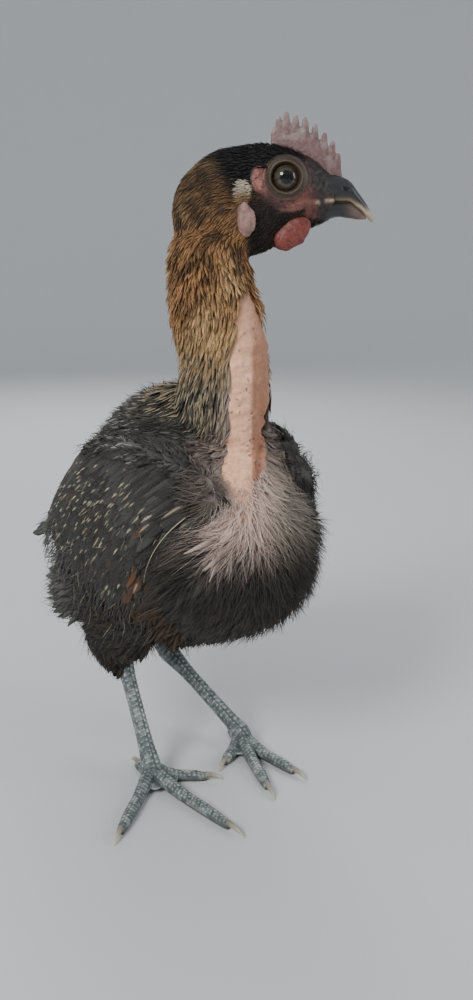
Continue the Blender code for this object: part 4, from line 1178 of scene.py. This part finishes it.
def build_eyeball(label, out_axis):
    """An eye with its pupil and iris."""
    middle = head_point(EYE_ALONG, SIDES[label] * (EYE_OUT + 0.3 - EYE_CAP), EYE_HEIGHT)
    polar, angle = np.linspace(0, np.pi, 60)[:, None], circle(72)
    front = (np.cos(polar) * np.where(polar < np.pi / 2, EYE_CAP, EYE_BACK))[..., None]
    wide = np.sin(polar) * (EYE_CAP * 0.86)
    rings = middle + out_axis * front + HEAD_FORWARD * (wide * np.cos(angle))[..., None] \
        + UP * (wide * np.sin(angle))[..., None]
    vertices, faces = tube_mesh(rings)
    along, _, z = head_frame(vertices)
    reach = np.hypot(along - EYE_ALONG - 0.3, z - EYE_HEIGHT)
    turn = np.arctan2(z - EYE_HEIGHT, along - EYE_ALONG)
    iris = mix(IRIS_DARK, IRIS, hash_noise(stack(turn * 9, reach * 0.5, 0), 1, 61))
    iris = mix(iris, IRIS_RIM, smooth(reach, IRIS_EDGE, 6.4))
    tint = mix(BLACK * 0.25, iris, smooth(reach, PUPIL, 3.2))
    make_piece("eyeball_" + label, vertices, faces, EYE, "eyes", tint, ("eye_" + label,))


def build_lids(label, out_axis, ground, rows=44, around=144):
    """The lids round an eye, with their rims and folds, which run out into the skin."""
    side, theta = SIDES[label], circle(around)
    r = (EYE_OPENING - 0.9 + (LID_REACH - EYE_OPENING + 0.9) * evenly(rows) ** 1.15)[:, None]
    rim = r - EYE_OPENING
    radial = r * (1 + 0.03 * np.cos(2 * theta + 0.6))
    along = EYE_ALONG + radial * np.cos(theta)
    above = np.maximum(np.sin(theta), 0) * smooth(radial, 8.5, 14)
    height = EYE_HEIGHT + radial * np.sin(theta) * (1 + 0.08 * smooth(radial, 7, 9) - 0.32 * above)
    skin_out = []
    for place in head_point(along, side * 40, height).reshape(-1, 3).tolist():
        hit = ground.tree.ray_cast(place, (-out_axis).tolist())[0]
        skin_out.append(6.0 if hit is None
                        else side * float((np.array(hit) - HEAD_BASE) @ HEAD_SIDE))
    skin_out = np.reshape(skin_out, (rows, around))
    blend = smooth(r, EYE_OPENING + 1.2, EYE_OPENING + 5)
    crest = LID_LEVEL + 1.15 * bell(rim, 0.75, 0.8) + 0.5 * bell(rim, LID_WIDTH, 0.7)
    upper = 0.5 + 0.5 * np.sin(theta - 0.7)
    folds = 0.26 * np.sin(rim * 4.6) * bell(rim, 2.2, 2.4) * (0.35 + 0.9 * upper)
    surface = crest * (1 - blend) + (skin_out + 0.12) * blend + folds
    surface = np.where(rim < 0, 12.6 + 2.4 * rim, surface)
    surface = surface - 0.5 * smooth(r, LID_REACH - 1.6, LID_REACH)
    points = head_point(along, side * surface, height)
    fine = 0.16 * (hash_noise(points.reshape(-1, 3), 0.8, 63) - 0.5)
    points = points + out_axis * fine.reshape(rows, around, 1)
    shell = np.concatenate([points[:1] - out_axis * 2.5, points, points[-1:] - out_axis * 2.0])
    flat = shell.reshape(-1, 3)
    index = np.arange(len(flat)).reshape(-1, around)
    quads, both = ring_quads(index), np.array([[0], [len(flat)]])
    faces = [quads, quads[:, ::-1] + len(flat), ring_quads(index[0] + both)[:, [0, 3, 2, 1]],
             ring_quads(index[-1] + both)]
    if side < 0:
        faces = [part[:, ::-1] for part in faces]
    ring = np.concatenate([[0], rim[:, 0], [9]])[:, None]
    rims = bell(ring, 0.55, 0.4) + bell(ring, 2.7, 0.4) * (0.55 + 0.45 * np.sin(2 * theta + 1))
    lid = np.repeat(bell(ring, 0.9, 1.9), around)
    tint = mix(skin_tint(flat), LID * 0.55, np.clip(lid * 1.2, 0, 1))
    tint = mix(tint, LID * 1.5, np.clip(rims.ravel() * 0.7, 0, 1))
    tint = tint * (0.8 + 0.4 * hash_noise(flat, 0.9, 65))[:, None]
    make_piece("lids_" + label, np.concatenate([flat, flat - out_axis * LID_THICK]), faces, SKIN,
               "face_skin", np.concatenate([tint, tint]))


def hug(across):
    """Share of a wing feather's lift: the front edge lies close to the body."""
    return (0.25 + 0.75 * smooth(across, 0, 0.2)) * (1 - 0.8 * smooth(across, 0.72, 1))


def build_wing(label):
    """The flights of a folded wing and their greater coverts, in tiers."""
    side, share, rows = SIDES[label], evenly(FLIGHT_STEPS), []
    shape = np.clip(0.45 + 1.6 * share, 0, 1) * (1 - smooth(share, 0.80, 1.04) * 0.85)
    for number, (count, start, reach, lift, half) in enumerate(FLIGHTS):
        across = ((np.arange(count) + 0.5) / count)[:, None]
        start = start * smooth(across, 0, 0.35)
        down = (start + (reach - start) * share) * (1 + 0.02 * rng.normal(0, 1, (count, 1)))
        rear = 1 - 0.8 * smooth(across, 0.45, 0.85) * smooth(-down, -0.06, 0.12)
        lift = lift * WING_FULLNESS[label] * hug(across) * rear
        centres, normals = wing_rows(side, across, down, lift)
        width = half * shape * (1 + 0.04 * rng.standard_normal((count, FLIGHT_STEPS)))
        base = mix(CHARCOAL, SLATE, rng.random(count) * 0.7)
        if number == 0:
            base = mix(base, RUFOUS * 0.8, bell(across[:, 0], 0.18, 0.16) * 0.6)
        tints = base[:, None, :] * (0.75 + 0.35 * share)[:, None]
        pale = rng.random(count) < 0.35
        tints[pale, -1:] = tints[pale, -1:] * 0.6 + BUFF * 0.3
        roots = stack(0.04 + 0.9 * across[:, 0], 0.06 + 0.2 * number)
        rows.append((centres, normals, width, tints, roots))
    blades("wing_feathers_" + label, *joined(rows), roll=side * math.radians(-6),
           replaces=("wing_" + label,))


def build_coverts(label):
    """Small coverts in rows over the wing, from its top edge down."""
    side, share, rows = SIDES[label], evenly(len(COVERT_SHAPE)), []
    for row in range(COVERT_ROWS):
        count = COVERTS
        across = (np.arange(count) + 0.5 * (row % 2) + rng.normal(0, 0.16, count)) / count
        level = row / (COVERT_ROWS - 1)
        start = -0.04 - 0.12 * smooth(across, 0.1, 0.5)[:, None]
        down = start + (0.66 - start) * level + 0.02 * rng.standard_normal((count, 1))
        run = down + 0.15 * np.clip(rng.normal(1, 0.12, (count, 1)), 0.7, 1.3) * share
        top = np.clip(-down / 0.32, 0, 1) ** 2
        low = smooth(-run, -0.08, 0.14) * smooth(across, 0.45, 0.85)[:, None]
        lift = (6.9 - 3.2 * top - 4.4 * low - 1.4 * np.clip(down, 0, 1)) * WING_FULLNESS[label]
        lift = lift * hug(across)[:, None] + 0.9 * share
        slant = across[:, None] + 0.02 * share + 0.012 * rng.standard_normal((count, 1))
        places, normals = wing_rows(side, slant, run, lift)
        width = 2.7 * COVERT_SHAPE * (1 + 0.08 * rng.standard_normal((count, len(share))))
        base = mix(CHARCOAL, SLATE * 1.15, rng.random(count) * (0.4 + 0.6 * (row < 9)))
        rust = 0.45 * smooth(across, 0.8, 0.97) * (rng.random(count) < 0.5)
        streak = (across < 0.16) & (level > 0.55) & (rng.random(count) < 0.5)
        rust = rust + 0.4 * (rng.random(count) < 0.03) + 0.5 * streak
        base = mix(base, RUFOUS * 0.75, np.clip(rust, 0, 1))
        tint = base[:, None, :] * (0.65 + 0.5 * share)[:, None]
        line = tint * 0.9
        speck = rng.random(count) < 0.14 + 0.16 * smooth(across, 0.2, 0.5)
        long = rng.random(count) < 0.2
        line[speck, -2:] = CREAM * rng.uniform(0.4, 1.05, (speck.sum(), 1, 1))
        line[speck & long, -4:] = BUFF * 0.8
        roots = stack(0.04 + 0.9 * across, 0.03 + 0.9 * level)
        rows.append((places, normals, width, tint, roots, line))
    blades("coverts_" + label, *joined(rows), thick=0.35, camber=0.16, roll=side * math.radians(-3))


def build_wisps(label):
    """Loose barbs over the wing, and on the right the long pale shaft low on its front."""
    side, share, count = SIDES[label], evenly(5), WISPS
    across = 0.93 * rng.random(count)
    start = -0.02 - 0.12 * smooth(across, 0.1, 0.5)
    down = start + (0.98 - start) * rng.random(count) ** 0.8
    length = rng.uniform(0.06, 0.12, count) * (1 + 0.8 * smooth(down, 0.5, 0.9))
    lean = rng.normal(0, 0.035, count)
    rise = rng.uniform(0.8, 2.2, count) * (1 + 0.9 * smooth(down, 0.6, 0.9))
    low = smooth(-down, -0.08, 0.14) * smooth(across, 0.45, 0.85)
    top = np.clip(-down / 0.32, 0, 1) ** 2
    lift = (6.6 - 3.2 * top - 4.2 * low - 1.2 * np.clip(down, 0, 1)) * WING_FULLNESS[label]
    places, normals = wing_rows(side, *(
        first[:, None] + slope[:, None] * share
        for first, slope in ((across, lean), (down, length), (lift * hug(across), rise))))
    tint = mix(CHARCOAL * 1.3, SMOKE, rng.random(count))
    pale = 0.8 * smooth(down, 0.62, 0.85) * smooth(across, 0.35, 0.55)
    tint = mix(tint, SMOKE * 1.5, pale * (rng.random(count) < 0.6))
    tint = mix(tint, BUFF, (rng.random(count) < 0.05) * 0.8)
    halves = np.array([0.26, 0.24, 0.2, 0.14, 0.05]) * rng.uniform(0.8, 1.3, (count, 1))
    tints = tint[:, None] * np.array([0.7, 0.9, 1.0, 1.1, 1.1])[:, None]
    roots = stack(0.04 + 0.9 * across, 0.03 + 0.9 * (down + 0.3))
    blades("wing_wisps_" + label, places, normals, halves, tints, roots, material=DOWNY,
           section=STRAND, thick=0.2, camber=0)
    if label == "right":
        share = evenly(14)[None]
        lift = 5.4 + 1.5 * np.sin(np.pi * share)
        places, normals = wing_rows(side, 0.075 - 0.03 * share, 0.09 + 0.5 * share, lift)
        tints = np.tile(CREAM * 0.9, (1, 14, 1))
        blades("pale_shaft", places, normals, 0.26 * (1 - 0.6 * share), tints,
               np.array([[0.5, 0.98]]), section=THIN, thick=0.3, camber=0)


def build_tail():
    """Tail: a short low fan of feathers under its coverts."""
    share, rows = evenly(FLIGHT_STEPS), []
    shape = np.clip(0.5 + 1.5 * share, 0, 1) * (1 - smooth(share, 0.82, 1.05) * 0.85)
    for number, (count, length, raised, half) in enumerate(TAIL_TIERS):
        place = 2.0 * (np.arange(count) + 0.5) / count - 1.0
        yaw, roof = place * math.radians(13), place * math.radians(28)
        heading = unit(stack(np.sin(yaw), np.cos(yaw), -0.3))
        lower = np.abs(place) * 9.0 + np.where(place < 0, 0.7, 0.0)
        root = TAIL_BASE + stack(place * 11, 2, raised - lower)
        reach = length * (1 - 0.14 * np.abs(place)) * (1 + 0.04 * rng.standard_normal(count))
        spine = root[:, None] + heading[:, None] * (reach[:, None] * share)[..., None]
        spine[..., 2] -= 2.5 * share**2
        ups = np.repeat(stack(np.sin(roof), 0, np.cos(roof))[:, None], FLIGHT_STEPS, axis=1)
        width = half * shape * (1 + 0.05 * rng.standard_normal((count, FLIGHT_STEPS)))
        base = mix(CHARCOAL * 0.8, SLATE, rng.random(count) * 0.6)
        tints = base[:, None, :] * (0.8 + 0.3 * share)[:, None]
        roots = stack(0.1 + 0.8 * (place + 1) / 2, 0.1 + 0.3 * number)
        rows.append((spine, ups, width, tints, roots))
    blades("tail_feathers", *joined(rows), replaces=("tail",))


def body(points):
    """1 on torso and thighs, apart from bare skin, neck and the ground under the wings."""
    x, y, z = points.T
    neck = smooth(z, 196, 206) * (np.hypot(x + 2, y + 24) < 34)
    return (1 - neck) * (z < 232) * (1 - bare_mask(points)) * (1 - inside_patch(points))


def soft_front(points):
    """1 on the front of breast and belly, which down covers."""
    return smooth(-points[:, 1], 34, 46) * band(points[:, 2], 104, 124, 176, 188)


def vaned(points):
    """1 where body feathers grow."""
    return body(points) * (1 - soft_front(points) * (1 - np.clip(1.4 * overlap(points), 0, 1)))


def arm(points):
    """1 over the shoulder and arm."""
    return smooth(np.abs(points[:, 0]), 22, 30) * smooth(points[:, 2], 158, 170)


def fluff(points):
    """How thick the down grows."""
    z = points[:, 2]
    veil = 0.45 * bare_mask(points) * fade(z, 160, 184)
    share = (0.42 + 0.58 * soft_front(points)) * (1 - 0.5 * smooth(z, 186, 200))
    return np.maximum(body(points) * (share * (1 - 0.7 * arm(points))), veil)


def breast(points):
    """1 on the breast, where the down is finer."""
    return smooth(-points[:, 1], 38, 46) * smooth(points[:, 2], 122, 134)


def neck(points):
    """1 where hackles grow."""
    x, y, z = points.T
    near = np.hypot(x + 4, y + 25) < 36
    return near * (z > 192) * (z < 300) * (1 - bare_mask(points)) * (1 - ear_mask(points)) \
        * ((head_frame(points)[0] < 22) | (z < 285))


def head(points):
    """1 where the small feathers of the head grow."""
    along, _, z = head_frame(points)
    return (z > 284) * (1 - face_mask(points)) * (1 - flesh_mask(points)) * (along > -16)


def bristles(points):
    """Where bristles grow on the bare face, clear of the lids."""
    along, _, z = head_frame(points)
    lids = np.hypot(along - EYE_ALONG, z - EYE_HEIGHT) < 10.5
    return 0.8 * face_mask(points) * (1 - lids) * (along < 66) * (z > 296)


def rear(points):
    """1 at the fluffy rear under the tail."""
    return smooth(points[:, 1], 40, 58) * fade(points[:, 2], 112, 126)


def lump(points):
    """1 on the tufts behind the thighs."""
    return rear(points) * smooth(np.abs(points[:, 0]), 16, 28) * smooth(points[:, 2], 66, 78)


def fluff_length(points):
    """Length of the down."""
    front = smooth(-points[:, 1], 38, 52)
    return 7.5 + 4.0 * front + 5.0 * rear(points) + 4.0 * lump(points) + 7.0 * overlap(points)


def fluff_lift(points):
    """How far the tips of the down stand off the skin."""
    front = smooth(-points[:, 1], 40, 56)
    return 4.6 + 2.5 * rear(points) + 3.0 * lump(points) + 1.5 * front + 8.0 * overlap(points)


def back_line(points):
    """Shade of the shafts of body feathers, which are pale on the back."""
    back = smooth(points[:, 2], 176, 192) * smooth(points[:, 1], -40, -10)
    return 0.5 + 3.6 * back[:, None] * np.ones(3)


def build_coat(ground):
    """Body feathers, hackle, head feathers and down."""
    vane = dict(gradient=(0.55, 0.8, 1, 1.1, 1.15), section=SHAFT)
    coat(ground, "body_feathers", "torso", VANES, 3.0, lambda p: 13 - 5 * arm(p) + 6 * overlap(p),
         lambda p: 4.2 - 2.6 * overlap(p),
         lambda p: 3.4 + 4 * lump(p) - 2 * arm(p) + 8 * overlap(p), vaned,
         shape=(0.55, 1, 1, 0.8, 0.12), wander=0.16, shaft=back_line, **vane)
    fluffy = dict(noise=0.3, camber=0, roll=0.5)
    coat(ground, "down", "torso", DOWNY, 1.42, fluff_length, 0.4, fluff_lift,
         lambda p: fluff(p) * (1 - breast(p)), shape=(1.2, 1, 0.65, 0.15),
         gradient=(0.6, 0.85, 1, 1.15), wander=0.4, thick=0.2, **fluffy)
    coat(ground, "breast_down", "torso", DOWNY, 0.86, fluff_length, 0.3, fluff_lift,
         lambda p: fluff(p) * breast(p), shape=(1.3, 1.15, 0.9, 0.55, 0.15),
         gradient=(0.72, 0.88, 1, 1.05, 1.1), wander=0.34, thick=0.16, **fluffy)
    coat(ground, "hackle", "neck", VANES, 1.36,
         lambda p: 6.5 + (3 + 6 * smooth(p[:, 2], 200, 224)) * fade(p[:, 2], 222, 290), 1.5,
         lambda p: 2.6 - 1.2 * smooth(p[:, 2], 280, 300), neck, shape=(0.6, 1, 1, 0.75, 0.12),
         wander=0.14, slot="hackle", shaft=lambda p: np.full((len(p), 3), 0.22), tip=BUFF,
         tip_share=lambda p: 0.6 * smooth(p[:, 2], 206, 222) * fade(p[:, 2], 240, 254), **vane)
    coat(ground, "head_feathers", "head", DOWNY, 1.0,
         lambda p: 3 + 3.4 * fade(head_frame(p)[0], 5, 40), 1.0, 0.9, head,
         shape=(0.6, 1, 0.8, 0.15), gradient=(0.6, 0.9, 1.05, 1.1), wander=0.12, section=THIN,
         thick=0.2)
    coat(ground, "face_bristles", "head", DOWNY, 1.5, 1.7, 0.22, 0.8, bristles,
         shape=(1, 0.8, 0.6, 0.2), gradient=(0.8, 0.9, 1, 1), wander=0.5, thick=0.12,
         paint=lambda p: np.tile(BLACK * 1.3, (len(p), 1)))
    coat(ground, "ear_tufts", "head", DOWNY, 0.42, 2.7, 0.3, 1.3, ear_mask,
         shape=(1, 0.9, 0.75, 0.5, 0.15), gradient=(0.6, 0.85, 1, 1.1, 1.1), wander=0.16,
         thick=0.18, roll=0.3, paint=lambda p: mix(TUFT_ROOT, TUFT, smooth(p[:, 2], 310, 316)))


build_camera()
build_stage()
skin = build_skin()
for label, side in SIDES.items():
    build_eyeball(label, HEAD_SIDE * side)
    build_lids(label, HEAD_SIDE * side, skin)
build_bill()
build_comb()
build_lobes()
build_legs()
for label in SIDES:
    build_wing(label)
    build_coverts(label)
    build_wisps(label)
build_tail()
build_coat(skin)
